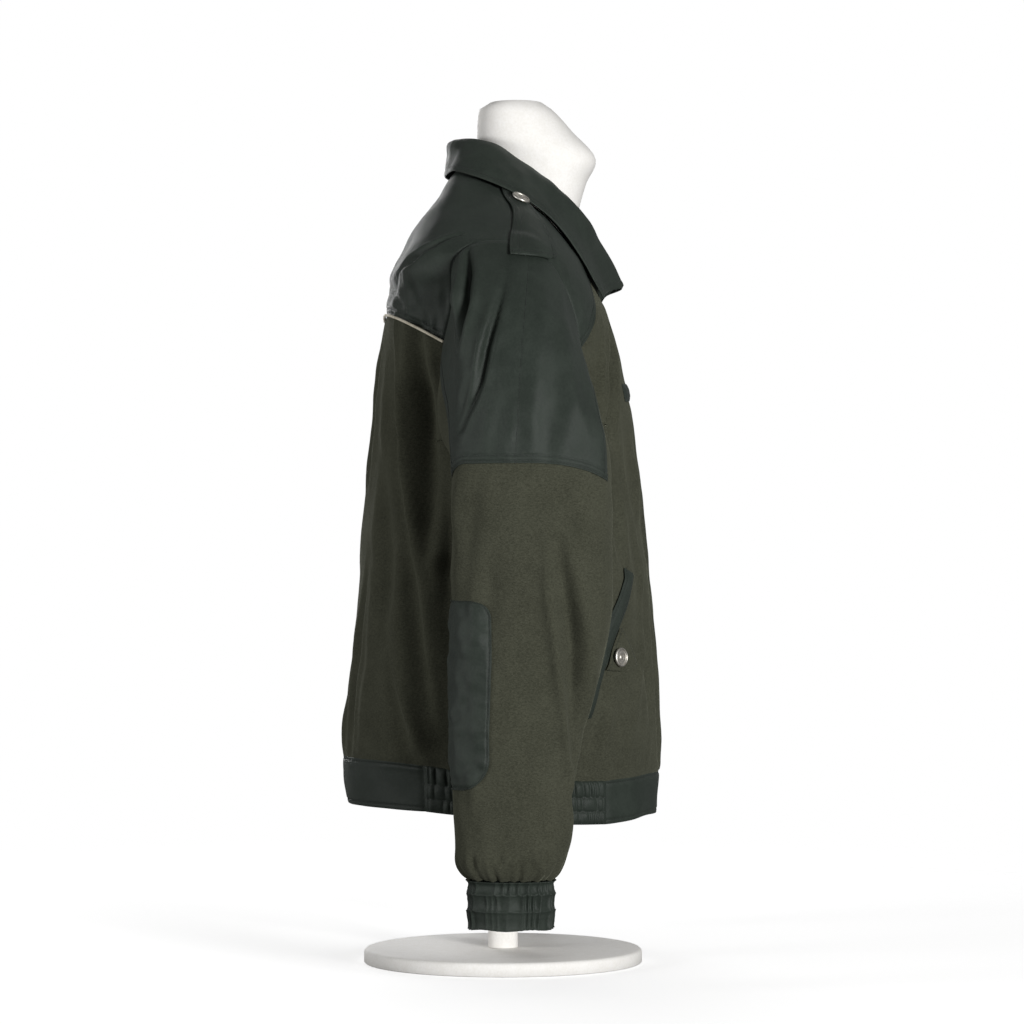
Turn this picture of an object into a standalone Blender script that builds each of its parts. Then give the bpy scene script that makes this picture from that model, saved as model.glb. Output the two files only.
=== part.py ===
# A short fleece jacket with smooth woven yokes, collar, cuffs and hem band, worn on a limbless dress form.
# Metres, +Z up. The jacket's front faces -Y and the wearer's right is -X. The origin is the middle of the
# round foot's underside, on the floor.

import math
from types import SimpleNamespace

import bpy
from mathutils import Vector

for old in list(bpy.data.objects):
    bpy.data.objects.remove(old, do_unlink=True)

# Driving dimensions.
fleeceWall = 0.0022
wovenWall = 0.0014
halfSeam = 0.00018          # each cloth edge stops this far short of its seam line
overlayGap = 0.0003         # between a cloth and one sewn over it, grid on grid
loosePatchGap = 0.0014      # the same, for small pieces that span the facets below them
placketHalf = 0.030
pipingRadius = 0.0015
cuffTop = 0.1150
cuffBottom = 0.0672
sleeveRingTop = 0.500       # where the sleeve's cap turns into level rings
footRadius = 0.150
footThick = 0.015
poleRadius = 0.016
solidGap = 0.0003           # between the form, its pole and its foot
buttonThick = 0.0030
cuffInset = 0.0008          # the cuff's ring inside the sleeve's last one
sleeveStart = SimpleNamespace(inward=0.00035, out=0.0009)           # from the armhole's edge
standRoot = SimpleNamespace(inward=0.0012, out=0.0009, up=0.0006)   # from the neck hole's edge
standTop = 0.0034           # the collar's stand ends this far below its fold line
leafRoll = SimpleNamespace(inward=0.0034, down=0.0020, over=0.0016, puff=0.0035)
neckPower = 2.2
formBlend = 8               # the rounding where the form's neck runs into its shoulders
formColumns = 24
sleeveColumns = range(-11, 13)
pipingSides = 6


class Table:
    """Rows sorted by their first column, read at any value by a smooth curve that never overshoots."""

    def __init__(self, names, *rows):
        self.names = names[1:]
        self.keys = [row[0] for row in rows]
        self.columns = [[row[i + 1] for row in rows] for i in range(len(self.names))]
        self.slopes = [self.slopesOf(column) for column in self.columns]

    def slopesOf(self, values):
        steps = [(values[i + 1] - values[i]) / (self.keys[i + 1] - self.keys[i]) for i in range(len(values) - 1)]
        slopes = [steps[0]]
        for before, after in zip(steps, steps[1:]):
            slopes.append(0.0 if before * after <= 0 else 2 * before * after / (before + after))
        return slopes + [steps[-1]]

    def at(self, key):
        key = min(max(key, self.keys[0]), self.keys[-1])
        i = 0
        while i < len(self.keys) - 2 and key > self.keys[i + 1]:
            i += 1
        span = self.keys[i + 1] - self.keys[i]
        k = (key - self.keys[i]) / span
        found = {}
        for name, values, slopes in zip(self.names, self.columns, self.slopes):
            found[name] = (values[i] * (1 + 2 * k) * (1 - k) ** 2 + slopes[i] * span * k * (1 - k) ** 2
                           + values[i + 1] * k * k * (3 - 2 * k) - slopes[i + 1] * span * k * k * (1 - k))
        return SimpleNamespace(**found)


# The cloth's outer surface round the body, as level rings. A ring is a rounded box of this power.
bodyRings = Table(("z", "front", "back", "half", "power"),
                  (0.150, -0.166, 0.166, 0.200, 2.4),
                  (0.215, -0.168, 0.172, 0.205, 2.4),
                  (0.235, -0.1685, 0.171, 0.214, 2.4),
                  (0.300, -0.1665, 0.165, 0.224, 2.4),
                  (0.390, -0.159, 0.1566, 0.222, 2.4),
                  (0.455, -0.152, 0.152, 0.217, 2.4),
                  (0.5325, -0.145, 0.145, 0.211, 2.4),
                  (0.610, -0.134, 0.138, 0.208, 2.5),
                  (0.649, -0.124, 0.134, 0.208, 2.6),
                  (0.690, -0.1135, 0.126, 0.212, 2.7),
                  (0.715, -0.103, 0.1225, 0.217, 2.8),
                  (0.735, -0.091, 0.119, 0.221, 3.0),
                  (0.749, -0.084, 0.114, 0.220, 3.0),
                  (0.760, -0.0765, 0.108, 0.212, 3.0),
                  (0.774, -0.068, 0.101, 0.193, 3.0),
                  (0.790, -0.056, 0.092, 0.171, 3.0),
                  (0.8065, -0.040, 0.080, 0.145, 3.0),
                  (0.820, -0.022, 0.070, 0.124, 3.0),
                  (0.832, 0.000, 0.0635, 0.104, 3.0),
                  (0.842, 0.020, 0.057, 0.082, 3.0),
                  (0.852, 0.032, 0.050, 0.050, 3.0),
                  (0.858, 0.038, 0.044, 0.020, 3.0))

# The dress form inside it. Its neck is a second set of rings that runs into the shoulders.
formRings = Table(("z", "front", "back", "half", "power"),
                  (0.205, -0.112, 0.112, 0.148, 2.4),
                  (0.216, -0.124, 0.124, 0.162, 2.4),
                  (0.300, -0.128, 0.130, 0.168, 2.4),
                  (0.400, -0.113, 0.108, 0.148, 2.3),
                  (0.450, -0.109, 0.102, 0.142, 2.3),
                  (0.550, -0.116, 0.116, 0.158, 2.3),
                  (0.640, -0.112, 0.120, 0.176, 2.4),
                  (0.690, -0.100, 0.113, 0.188, 2.5),
                  (0.715, -0.090, 0.1105, 0.197, 2.6),
                  (0.735, -0.078, 0.106, 0.201, 2.8),
                  (0.749, -0.070, 0.100, 0.197, 2.9),
                  (0.760, -0.062, 0.093, 0.183, 3.0),
                  (0.774, -0.051, 0.085, 0.161, 3.0),
                  (0.790, -0.037, 0.074, 0.136, 3.0),
                  (0.8065, -0.018, 0.062, 0.108, 3.0),
                  (0.820, 0.002, 0.052, 0.082, 3.0),
                  (0.832, 0.018, 0.042, 0.050, 3.0),
                  (0.840, 0.026, 0.034, 0.018, 3.0))
neckRings = Table(("z", "front", "back", "half"),
                  (0.690, -0.050, 0.036, 0.050),
                  (0.780, -0.074, 0.038, 0.058),
                  (0.840, -0.090, 0.029, 0.060),
                  (0.863, -0.1004, 0.028, 0.061),
                  (0.896, -0.074, 0.028, 0.058),
                  (0.9178, -0.054, 0.026, 0.053),
                  (0.9255, -0.043, 0.015, 0.043))
formHeights = (0.205, 0.216, 0.250, 0.300, 0.360, 0.430, 0.500, 0.570, 0.640, 0.690, 0.720, 0.742, 0.758,
               0.774, 0.790, 0.806, 0.822, 0.840, 0.863, 0.880, 0.898, 0.9155, 0.9255)

# The neck hole, and the armhole in the side of the body.
neckHole = SimpleNamespace(y=-0.0265, half=0.078, depth=0.0785)
armhole = SimpleNamespace(y=-0.010, z=0.651, high=0.111, wide=0.069, power=2.6, lean=0.015,
                          hollow=0.0155, hollowAt=0.50, hollowSpan=0.26)   # its back edge runs forward there

# Level rings of the right sleeve, below its cap.
sleeveRings = Table(("z", "x", "y", "halfX", "halfY"),
                    (0.1153, -0.288, -0.0087, 0.0330, 0.0434),
                    (0.124, -0.289, -0.0070, 0.0385, 0.0515),
                    (0.154, -0.290, -0.0100, 0.0425, 0.0585),
                    (0.220, -0.291, -0.0110, 0.0440, 0.0610),
                    (0.2955, -0.289, -0.0210, 0.0470, 0.0720),
                    (0.396, -0.285, -0.0330, 0.0510, 0.0845),
                    (0.500, -0.279, -0.0320, 0.0540, 0.0840))
sleevePower = 2.25
sleeveSlope = Table(("angle", "slope"), (0, 35.0), (60, 40.0), (120, 52.0), (180, 62.0))
sleeveHeights = (0.448, 0.397, 0.349, 0.301, 0.253, 0.206, 0.158, 0.130, 0.1153)
capRows = 5                 # sleeve rows down to the woven cap's lower edge
capEdge = Table(("angle", "z"), (-75, 0.511), (0, 0.534), (58, 0.533), (82, 0.5195), (105, 0.510))
capBack = 6                 # the cap's back edge, in sleeve columns from the top
capFront = -6
patchColumns = (2, 10)
patchRows = (8, 12)
patchLean = (0.15, 0.70)    # how far the patch's outer edge reaches past its first column, at its top and bottom
underarmBulge = SimpleNamespace(angle=113.0, width=22.0, at=0.34, span=0.30, out=0.018)

# The hem band: the turn from the front, its lower edge and its upper edge.
hemLines = Table(("turn", "bottom", "top"),
                 (0, 0.1625, 0.2090),
                 (31, 0.1655, 0.2095),
                 (57, 0.1613, 0.2063),
                 (90, 0.1675, 0.2135),
                 (113, 0.1757, 0.2228),
                 (127, 0.1768, 0.2266),
                 (180, 0.1740, 0.2242))

# The collar's fold line and the free edge of its leaf, by the turn round the neck from the front.
foldLine = Table(("turn", "x", "y", "z"),
                 (0, 0.013, -0.1240, 0.7335),
                 (8, 0.012, -0.1130, 0.7560),
                 (16, 0.018, -0.0990, 0.7780),
                 (28, 0.034, -0.0915, 0.7930),
                 (42, 0.050, -0.0815, 0.8080),
                 (58, 0.064, -0.0640, 0.8250),
                 (78, 0.0715, -0.0390, 0.8455),
                 (92, 0.0725, -0.0210, 0.8570),
                 (106, 0.0710, -0.0040, 0.8695),
                 (120, 0.067, 0.0120, 0.8785),
                 (140, 0.054, 0.0320, 0.8830),
                 (160, 0.033, 0.0480, 0.8850),
                 (180, 0.000, 0.0555, 0.8850))
leafEdge = Table(("turn", "x", "y", "z"),
                 (0, 0.083, -0.1040, 0.7115),
                 (16, 0.090, -0.0960, 0.7250),
                 (32, 0.099, -0.0800, 0.7510),
                 (46, 0.107, -0.0640, 0.7760),
                 (62, 0.114, -0.0430, 0.7980),
                 (78, 0.118, -0.0240, 0.8130),
                 (92, 0.117, -0.0060, 0.8250),
                 (106, 0.112, 0.0145, 0.8345),
                 (120, 0.100, 0.0345, 0.8420),
                 (140, 0.076, 0.0500, 0.8470),
                 (160, 0.042, 0.0600, 0.8480),
                 (180, 0.000, 0.0640, 0.8475))
collarTurns = (0, 9, 18, 27, 36, 48, 60, 72, 84, 96, 110, 125, 142, 160, 180)

# The slanted pocket and the chest welt, as points (x, z) on the right front.
pocketLine = ((-0.2060, 0.274), (-0.2015, 0.306), (-0.1895, 0.346), (-0.1755, 0.3710), (-0.1575, 0.3965),
              (-0.1410, 0.4230))
pocketTab = (((-0.1885, 0.3220), (-0.1690, 0.3205), (-0.1475, 0.3260)),
             ((-0.1812, 0.3440), (-0.1690, 0.3430), (-0.1550, 0.3445)),
             ((-0.1700, 0.3640), (-0.1680, 0.3635), (-0.1660, 0.3630)))
pocketButton = SimpleNamespace(x=-0.1768, z=0.3345, radius=0.010)
pocketWeltWide = 0.015
chestLine = ((-0.094, 0.6105), (-0.077, 0.6110), (-0.059, 0.6115), (-0.041, 0.6120))
chestWeltTall = 0.018
# The strap by its distance out from the neck, then its outer end as seen from the side.
strapLine = Table(("out", "y", "wide"),
                  (0.108, -0.0110, 0.0240),
                  (0.1275, -0.0180, 0.0320),
                  (0.150, -0.0285, 0.0370),
                  (0.176, -0.0318, 0.0410),
                  (0.212, -0.0312, 0.0480))
strapEnd = SimpleNamespace(y=-0.0312, wide=0.0480, frontZ=0.7425, backZ=0.7450)
strapRise = SimpleNamespace(out=0.190, span=0.014, high=0.0024)   # where it climbs from the yoke onto the cap
strapSides = (-1, -0.33, 0.33, 1)
strapButton = SimpleNamespace(x=-0.1275, y=-0.0165, radius=0.010)
leafClear = 0.0060          # the collar's leaf keeps this far off the shoulders

# The largest folds of the right half: start (x, y, z), end (x, y, z), half width and depth. A ridge has a
# depth below zero.
sleeveSide = -0.232         # cloth past this x belongs to the sleeve
sleeveFoldX, sleeveFoldY = -0.285, -0.020
largeFolds = ((-0.196, 0.086, 0.600, -0.204, 0.078, 0.470, 0.026, 0.008),
              (-0.160, 0.106, 0.560, -0.206, 0.058, 0.250, 0.022, 0.005),
              (-0.178, 0.110, 0.440, -0.196, 0.088, 0.250, 0.020, -0.004),
              (-0.176, -0.098, 0.625, -0.166, -0.106, 0.555, 0.020, 0.007),
              (-0.112, -0.146, 0.500, -0.104, -0.156, 0.330, 0.022, 0.004),
              (-0.272, 0.002, 0.700, -0.322, 0.034, 0.575, 0.020, 0.006),
              (-0.330, -0.034, 0.410, -0.330, -0.066, 0.230, 0.020, 0.005))


def power(value, exponent):
    return math.copysign(abs(value) ** exponent, value)


def mix(a, b, k):
    return a + (b - a) * k


def turnOf(degrees):
    return math.radians(degrees)


def ringRadius(row, turn, middle):
    """How far a ring reaches from (0, middle), at a turn from the front."""
    across, along = math.sin(turn), -math.cos(turn)
    centre, depth = (row.front + row.back) / 2, (row.back - row.front) / 2
    near, far = 0.0, 0.5
    for _ in range(40):
        reach = (near + far) / 2
        y = middle + along * reach
        inside = abs(across * reach / row.half) ** row.power + abs((y - centre) / depth) ** row.power < 1
        near, far = (reach, far) if inside else (near, reach)
    return near


def onRing(rings, turn, z):
    row = rings.at(z)
    centre, depth = (row.front + row.back) / 2, (row.back - row.front) / 2
    reach = (abs(math.sin(turn) / row.half) ** row.power
             + abs(math.cos(turn) / depth) ** row.power) ** (-1 / row.power)
    return Vector((reach * math.sin(turn), centre - reach * math.cos(turn), z))


def outside(point):
    """Below 1 inside the body's cloth, above 1 outside it."""
    row = bodyRings.at(point.z)
    centre, depth = (row.front + row.back) / 2, (row.back - row.front) / 2
    return abs(point.x / row.half) ** row.power + abs((point.y - centre) / depth) ** row.power


def bodyNormal(point):
    step = 0.0005
    slope = Vector()
    for axis in range(3):
        shift = Vector()
        shift[axis] = step
        slope[axis] = outside(point + shift) - outside(point - shift)
    return slope.normalized()


def ontoBody(point, out=0.0):
    """The body's surface on the line to this point from the body's axis, which stops below the shoulders."""
    low = min(point.z, 0.640)
    row = bodyRings.at(low)
    centre = Vector((0, (row.front + row.back) / 2, low))
    near, far = 0.3, 1.8
    for _ in range(36):
        k = (near + far) / 2
        near, far = (k, far) if outside(centre + (point - centre) * k) < 1 else (near, k)
    found = centre + (point - centre) * near
    return found + bodyNormal(found) * out


def clearOfBody(point, gap):
    """The point, moved away from the body's cloth where it is nearer than this."""
    foot = ontoBody(point)
    normal = bodyNormal(foot)
    return point + normal * max(0.0, gap - (point - foot).dot(normal))


def onFront(x, z, out=0.0):
    """A point on the body's front half, from its place seen from the front."""
    row = bodyRings.at(z)
    centre, depth = (row.front + row.back) / 2, (row.back - row.front) / 2
    point = Vector((x, centre - depth * (1 - abs(x / row.half) ** row.power) ** (1 / row.power), z))
    return point + bodyNormal(point) * out


def onShoulder(x, y, out=0.0):
    """A point on the top of the shoulder, from its place seen from above."""
    low, high = 0.70, 0.858
    for _ in range(36):
        z = (low + high) / 2
        low, high = (z, high) if outside(Vector((x, y, z))) < 1 else (low, z)
    point = Vector((x, y, low))
    return point + bodyNormal(point) * out


def onSide(y, z):
    """A point on the body's right side, from its place seen from the side."""
    row = bodyRings.at(z)
    centre, depth = (row.front + row.back) / 2, (row.back - row.front) / 2
    return Vector((-row.half * (1 - abs((y - centre) / depth) ** row.power) ** (1 / row.power), y, z))


def armholePoint(degrees):
    """The right armhole's edge: 0 is its top, 90 its back, -90 its front and 180 the underarm."""
    angle = turnOf(degrees)
    up = power(math.cos(angle), 2 / armhole.power)
    back = power(math.sin(angle), 2 / armhole.power)
    hollow = armhole.hollow * math.exp(-((up - armhole.hollowAt) / armhole.hollowSpan) ** 2) * max(0.0, back)
    return onSide(armhole.y + armhole.lean * up + armhole.wide * back - hollow, armhole.z + armhole.high * up)


def neckPoint(degrees):
    """The neck hole's right edge: 0 is the front, 90 the side and 180 the nape."""
    angle = turnOf(degrees)
    x = -neckHole.half * math.sin(angle)
    y = neckHole.y - neckHole.depth * math.cos(angle)
    return onShoulder(x, y)


def hemPoint(degrees, edge):
    fold = abs((degrees + 180) % 360 - 180)
    return onRing(bodyRings, turnOf(degrees), getattr(hemLines.at(fold), edge))


def lineOf(start, end, count, bend=1.0):
    """Points on the body from one place to another, whose height bends late if bend is over 1."""
    points = []
    for i in range(count + 1):
        k = i / count
        point = start.lerp(end, k)
        point.z = mix(start.z, end.z, k ** bend)
        points.append(point if i in (0, count) else ontoBody(point))
    return points


def patchGrid(bottom, top, left, right, evenings=0):
    """A four-sided grid on the body between four edges. Each evening spreads its inner points more evenly."""
    rows, columns = len(left) - 1, len(bottom) - 1
    grid = []
    for r in range(rows + 1):
        v = r / rows
        row = []
        for c in range(columns + 1):
            u = c / columns
            across = left[r].lerp(right[r], u)
            along = bottom[c].lerp(top[c], v)
            corners = bottom[0].lerp(bottom[-1], u).lerp(top[0].lerp(top[-1], u), v)
            row.append(across + along - corners)
        grid.append(row)
    for _ in range(evenings):
        for r in range(1, rows):
            for c in range(1, columns):
                around = grid[r - 1][c] + grid[r + 1][c] + grid[r][c - 1] + grid[r][c + 1]
                grid[r][c] = ontoBody(around / 4)
    for r in range(1, rows):
        for c in range(1, columns):
            grid[r][c] = ontoBody(grid[r][c])
    return grid


def creased(point):
    """The point moved by the largest folds near it: in towards the wearer at a valley, out at a ridge."""
    here = Vector((-abs(point.x), point.y, point.z))
    inward = Vector((here.x, here.y, 0))
    if here.x < sleeveSide:
        inward -= Vector((sleeveFoldX, sleeveFoldY, 0))
    push = 0.0
    for startX, startY, startZ, endX, endY, endZ, width, depth in largeFolds:
        start, end = Vector((startX, startY, startZ)), Vector((endX, endY, endZ))
        along = end - start
        k = min(1.0, max(0.0, (here - start).dot(along) / along.length_squared))
        away = (here - start - along * k).length / (width * (0.5 + 0.5 * math.sin(math.pi * min(max(k, 0.1), 0.9))))
        push -= depth * math.exp(-away * away)
    moved = inward.normalized() * push
    return point + Vector((math.copysign(1, -point.x) * moved.x, moved.y, 0))


def creasedGrid(grid):
    return [[creased(p) for p in row] for row in grid]


def mirrorGrid(grid):
    return [[Vector((-p.x, p.y, p.z)) for p in reversed(row)] for row in grid]


def trimmed(grid, sides="bottom top left right", amount=halfSeam):
    """The grid with its edges drawn in along the surface, so that a seam stays open."""
    grid = [[p.copy() for p in row] for row in grid]
    if "bottom" in sides:
        grid[0] = [p.lerp(q, amount / (q - p).length) for p, q in zip(grid[0], grid[1])]
    if "top" in sides:
        grid[-1] = [p.lerp(q, amount / (q - p).length) for p, q in zip(grid[-1], grid[-2])]
    for row in grid:
        if "left" in sides:
            row[0] = row[0].lerp(row[1], amount / (row[1] - row[0]).length)
        if "right" in sides:
            row[-1] = row[-1].lerp(row[-2], amount / (row[-2] - row[-1]).length)
    return grid


def gridNormals(grid, closed=False):
    """Outward normals of a grid whose columns run to the viewer's right and whose rows run up."""
    rows, columns = len(grid), len(grid[0])
    normals = []
    for r in range(rows):
        row = []
        for c in range(columns):
            after = grid[r][(c + 1) % columns] if closed else grid[r][min(c + 1, columns - 1)]
            before = grid[r][c - 1] if closed else grid[r][max(c - 1, 0)]
            above, below = grid[min(r + 1, rows - 1)][c], grid[max(r - 1, 0)][c]
            row.append((after - before).cross(above - below).normalized())
        normals.append(row)
    return normals


def lifted(grid, out, closed=False):
    normals = gridNormals(grid, closed)
    return [[p + n * out for p, n in zip(row, side)] for row, side in zip(grid, normals)]


def material(name, colour, roughness, metallic=0.0):
    made = bpy.data.materials.new(name)
    made.use_nodes = True
    shader = made.node_tree.nodes["Principled BSDF"]
    shader.inputs["Base Color"].default_value = (*colour, 1.0)
    shader.inputs["Roughness"].default_value = roughness
    shader.inputs["Metallic"].default_value = metallic
    return made


fleece = material("olive fleece", (0.052, 0.054, 0.039), 0.95)
woven = material("bottle green weave", (0.026, 0.030, 0.026), 0.70)
cream = material("cream piping", (0.62, 0.58, 0.47), 0.60)
metal = material("silver metal", (0.62, 0.60, 0.56), 0.30, 1.0)
plaster = material("white form", (0.86, 0.84, 0.81), 0.60)


def addObject(name, points, faces, finish):
    mesh = bpy.data.meshes.new(name)
    mesh.from_pydata([tuple(p) for p in points], [], faces)
    mesh.materials.append(finish)
    mesh.shade_smooth()
    mesh.update()
    piece = bpy.data.objects.new(name, mesh)
    bpy.context.collection.objects.link(piece)
    return piece


def onBodyInside(grid, wall):
    """The inner face of a wall whose outer face lies on the body, square to the body at every point."""
    return [[p - bodyNormal(p) * wall for p in row] for row in grid]


def cloth(name, grid, inner, finish, closed=False):
    """A wall of cloth between its outer face and its inner face, two grids of the same size."""
    rows, columns = len(grid), len(grid[0])
    points = [p for row in grid for p in row] + [p for row in inner for p in row]
    back = rows * columns
    faces = []
    for r in range(rows - 1):
        for c in range(columns if closed else columns - 1):
            a, b = r * columns + c, r * columns + (c + 1) % columns
            d, e = a + columns, b + columns
            faces += [(a, b, e), (a, e, d), (a + back, e + back, b + back), (a + back, d + back, e + back)]
    rim = []
    for c in range(columns if closed else columns - 1):
        after = (c + 1) % columns
        rim.append((after, c))
        rim.append(((rows - 1) * columns + c, (rows - 1) * columns + after))
    if not closed:
        for r in range(rows - 1):
            rim.append((r * columns, (r + 1) * columns))
            rim.append(((r + 2) * columns - 1, (r + 1) * columns - 1))
    for a, b in rim:
        faces += [(a, b, b + back), (a, b + back, a + back)]
    return addObject(name, points, faces, finish)


def bodyCloth(name, grid, wall, finish):
    grid = trimmed(grid)
    cloth(name, creasedGrid(grid), creasedGrid(onBodyInside(grid, wall)), finish)


def bothSides(name, grid, inner, finish, closed=False):
    cloth(name + "_right", grid, inner, finish, closed)
    cloth(name + "_left", mirrorGrid(grid), mirrorGrid(inner), finish, closed)


def bodyClothBothSides(name, grid, wall, finish):
    grid = trimmed(grid)
    bothSides(name, creasedGrid(grid), creasedGrid(onBodyInside(grid, wall)), finish)


def turned(name, profile, steps, finish, place=(0, 0, 0), axis=(0, 0, 1)):
    """A solid of revolution. The profile is (radius, height), from the bottom's middle to the top's middle."""
    turn = Vector((0, 0, 1)).rotation_difference(Vector(axis))
    points, faces = [], []
    inner = profile[1:-1]
    for radius, height in inner:
        for i in range(steps):
            angle = 2 * math.pi * i / steps
            points.append(Vector((radius * math.cos(angle), radius * math.sin(angle), height)))
    bottom, top = len(points), len(points) + 1
    points += [Vector((0, 0, profile[0][1])), Vector((0, 0, profile[-1][1]))]
    for i in range(steps):
        j = (i + 1) % steps
        faces.append((bottom, j, i))
        faces.append((top, (len(inner) - 1) * steps + i, (len(inner) - 1) * steps + j))
        for r in range(len(inner) - 1):
            a, b = r * steps + i, r * steps + j
            faces += [(a, b, b + steps), (a, b + steps, a + steps)]
    piece = addObject(name, points, faces, finish)
    piece.location = place
    piece.rotation_mode = "QUATERNION"
    piece.rotation_quaternion = turn
    return piece


def tube(name, path, radius, sides, finish):
    """A round cord along a path, with flat ends."""
    points, faces = [], []
    for i, p in enumerate(path):
        ahead = (path[min(i + 1, len(path) - 1)] - path[max(i - 1, 0)]).normalized()
        out = bodyNormal(p)
        side = ahead.cross(out).normalized()
        out = side.cross(ahead)
        for k in range(sides):
            angle = 2 * math.pi * k / sides
            points.append(p + (side * math.cos(angle) + out * math.sin(angle)) * radius)
    for i in range(len(path) - 1):
        for k in range(sides):
            a, b = i * sides + k, i * sides + (k + 1) % sides
            faces += [(a, b + sides, b), (a, a + sides, b + sides)]
    last = (len(path) - 1) * sides
    for k in range(1, sides - 1):
        faces += [(0, k, k + 1), (last, last + k + 1, last + k)]
    return addObject(name, points, faces, finish)


# Seam lines that two pieces share. A span is a list of armhole angles, neck angles or body turns.
yokeTurn, shoulderTurn = 88, -30           # where the back yoke starts and ends on the armhole
underToYoke = [mix(180, yokeTurn, i / 6) for i in range(7)]
yokeOverTop = [mix(yokeTurn, shoulderTurn, i / 8) for i in range(9)]
underToFront = [-180 + 15 * i for i in range(7)]
frontYokeArm = [-90 + 15 * i for i in range(5)]
neckBack = [180 - 22.5 * i for i in range(5)]
neckSide = [40, 52.5, 65, 77.5, 90]
placketTurn = 22.6
neckFront = [40, 31, placketTurn]
backTurns = [180, 189.5, 199, 208, 218, 228, 238, 247, 258.5, 270]
frontTurns = [-90, -79, -68, -57, -45, -33.5, -22, -10.5]
elasticBack = 113           # where the elastic side of the hem band meets its smooth back


def sideSeam():
    """From the hem up to the underarm, on the right."""
    low, high = hemPoint(-90, "top"), armholePoint(180)
    return lineOf(low, high, 6)


def shoulderSeam():
    """From the neck out to the armhole."""
    return lineOf(neckPoint(90), armholePoint(shoulderTurn), 5)


def frontYokeSeam():
    """From the armhole up to the neck."""
    return lineOf(armholePoint(-90), neckPoint(40), 5, bend=1.35)


def makeBack():
    side = sideSeam()[:-1] + [armholePoint(a) for a in underToYoke]
    low, high = hemPoint(180, "top"), ontoBody(Vector((0, 0.126, 0.690)))
    middle = []
    for p in side:
        k = (p.z - side[0].z) / (side[-1].z - side[0].z)
        middle.append(onRing(bodyRings, math.pi, mix(low.z, high.z, k)))
    bottom = [hemPoint(t, "top") for t in backTurns]
    seam = lineOf(high, armholePoint(yokeTurn), 9, bend=1.6)
    right = patchGrid(bottom, seam, middle, side)
    panel = [a[:-1] + b for a, b in zip(mirrorGrid(right), right)]
    bodyCloth("back_panel", panel, fleeceWall, fleece)

    arm = [armholePoint(a) for a in yokeOverTop]
    nape = neckPoint(180)
    spine = [ontoBody(high.lerp(nape, i / 8)) for i in range(9)]
    spine[0], spine[-1] = high, nape
    neck = [neckPoint(a) for a in neckBack]
    top = neck[:-1] + shoulderSeam()
    right = patchGrid(seam, top, spine, arm, evenings=30)
    yoke = [a[:-1] + b for a, b in zip(mirrorGrid(right), right)]
    bodyCloth("back_yoke", yoke, wovenWall, woven)

    raised = overlayGap * 1.5 + pipingRadius
    half = [p + bodyNormal(p) * raised for p in seam]
    path = [Vector((-p.x, p.y, p.z)) for p in reversed(half[1:])] + half
    tube("back_piping", path[1:-1], pipingRadius, pipingSides, cream)


def makeFronts():
    side = sideSeam()[:-1] + [armholePoint(a) for a in underToFront]
    seam = frontYokeSeam()
    top = seam[:-1] + [neckPoint(a) for a in neckFront]
    bottom = [hemPoint(t, "top") for t in frontTurns]
    edge = [bottom[-1]]
    for i in range(1, 12):
        k = (side[i].z - side[0].z) / (side[-1].z - side[0].z)
        edge.append(onFront(-placketHalf, mix(bottom[-1].z, top[-1].z, k)))
    edge.append(top[-1])
    panel = patchGrid(bottom, top, side, edge)
    bodyClothBothSides("front", panel, fleeceWall, fleece)

    arm = [armholePoint(a) for a in frontYokeArm]
    ridge = list(reversed(shoulderSeam()))
    neck = [neckPoint(a) for a in neckSide]
    yoke = patchGrid(seam, ridge, arm, neck)
    bodyClothBothSides("front_yoke", yoke, wovenWall, woven)

    strip = []
    for i, p in enumerate(edge):
        middle = [onFront(x, p.z) for x in (-placketHalf / 2, 0)]
        if i == 0:
            middle = [hemPoint(t, "top") for t in (frontTurns[-1] / 2, 0)]
        if i == len(edge) - 1:
            middle = [neckPoint(a) for a in (placketTurn / 2, 0)]
        other = [Vector((-q.x, q.y, q.z)) for q in (middle[0], p)]
        strip.append([p] + middle + other)
    bodyCloth("front_fly", strip, fleeceWall, fleece)


def makeHem():
    def band(turns):
        rows = []
        for k in (0, 0.34, 0.67, 1):
            rows.append([hemPoint(t, "bottom").lerp(hemPoint(t, "top"), k) for t in turns])
        return rows
    back = [t for t in backTurns if t <= 360 - elasticBack]
    turns = [360 - t for t in reversed(back[1:])] + back
    bodyCloth("hem_back", band(turns), wovenWall, woven)
    sides = [t - 360 for t in backTurns if t >= 360 - elasticBack] + frontTurns[1:4]
    bodyClothBothSides("hem_elastic", band(sides), wovenWall, woven)
    bodyClothBothSides("hem_front", band(frontTurns[3:] + [0]), wovenWall, woven)


def ringPoint(degrees, z):
    row = sleeveRings.at(z)
    angle = turnOf(degrees)
    return Vector((row.x - row.halfX * power(math.cos(angle), 2 / sleevePower),
                   row.y + row.halfY * power(math.sin(angle), 2 / sleevePower), z))


def capPoint(degrees, s):
    """The sleeve above its first level ring, from the armhole (s = 0) down to that ring (s = 1)."""
    start, end = armholePoint(degrees), ringPoint(degrees, sleeveRingTop)
    reach = (end - start).length * 1.15
    fold = abs((degrees + 180) % 360 - 180)
    slope = turnOf(sleeveSlope.at(fold).slope)
    leave = Vector((-math.cos(slope), 0, -math.sin(slope))) * reach
    arrive = (ringPoint(degrees, sleeveRingTop - 0.02) - end).normalized() * reach
    point = (start * (1 + 2 * s) * (1 - s) ** 2 + leave * s * (1 - s) ** 2
             + end * s * s * (3 - 2 * s) - arrive * s * s * (1 - s))
    bulge = underarmBulge
    push = bulge.out * math.exp(-((fold * math.copysign(1, degrees) - bulge.angle) / bulge.width) ** 2
                                - ((s - bulge.at) / bulge.span) ** 2) * min(1, s * 6) * min(1, (1 - s) * 6)
    angle = turnOf(degrees)
    return point + Vector((-math.cos(angle) * 0.4, math.sin(angle), 0)) * push


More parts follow.
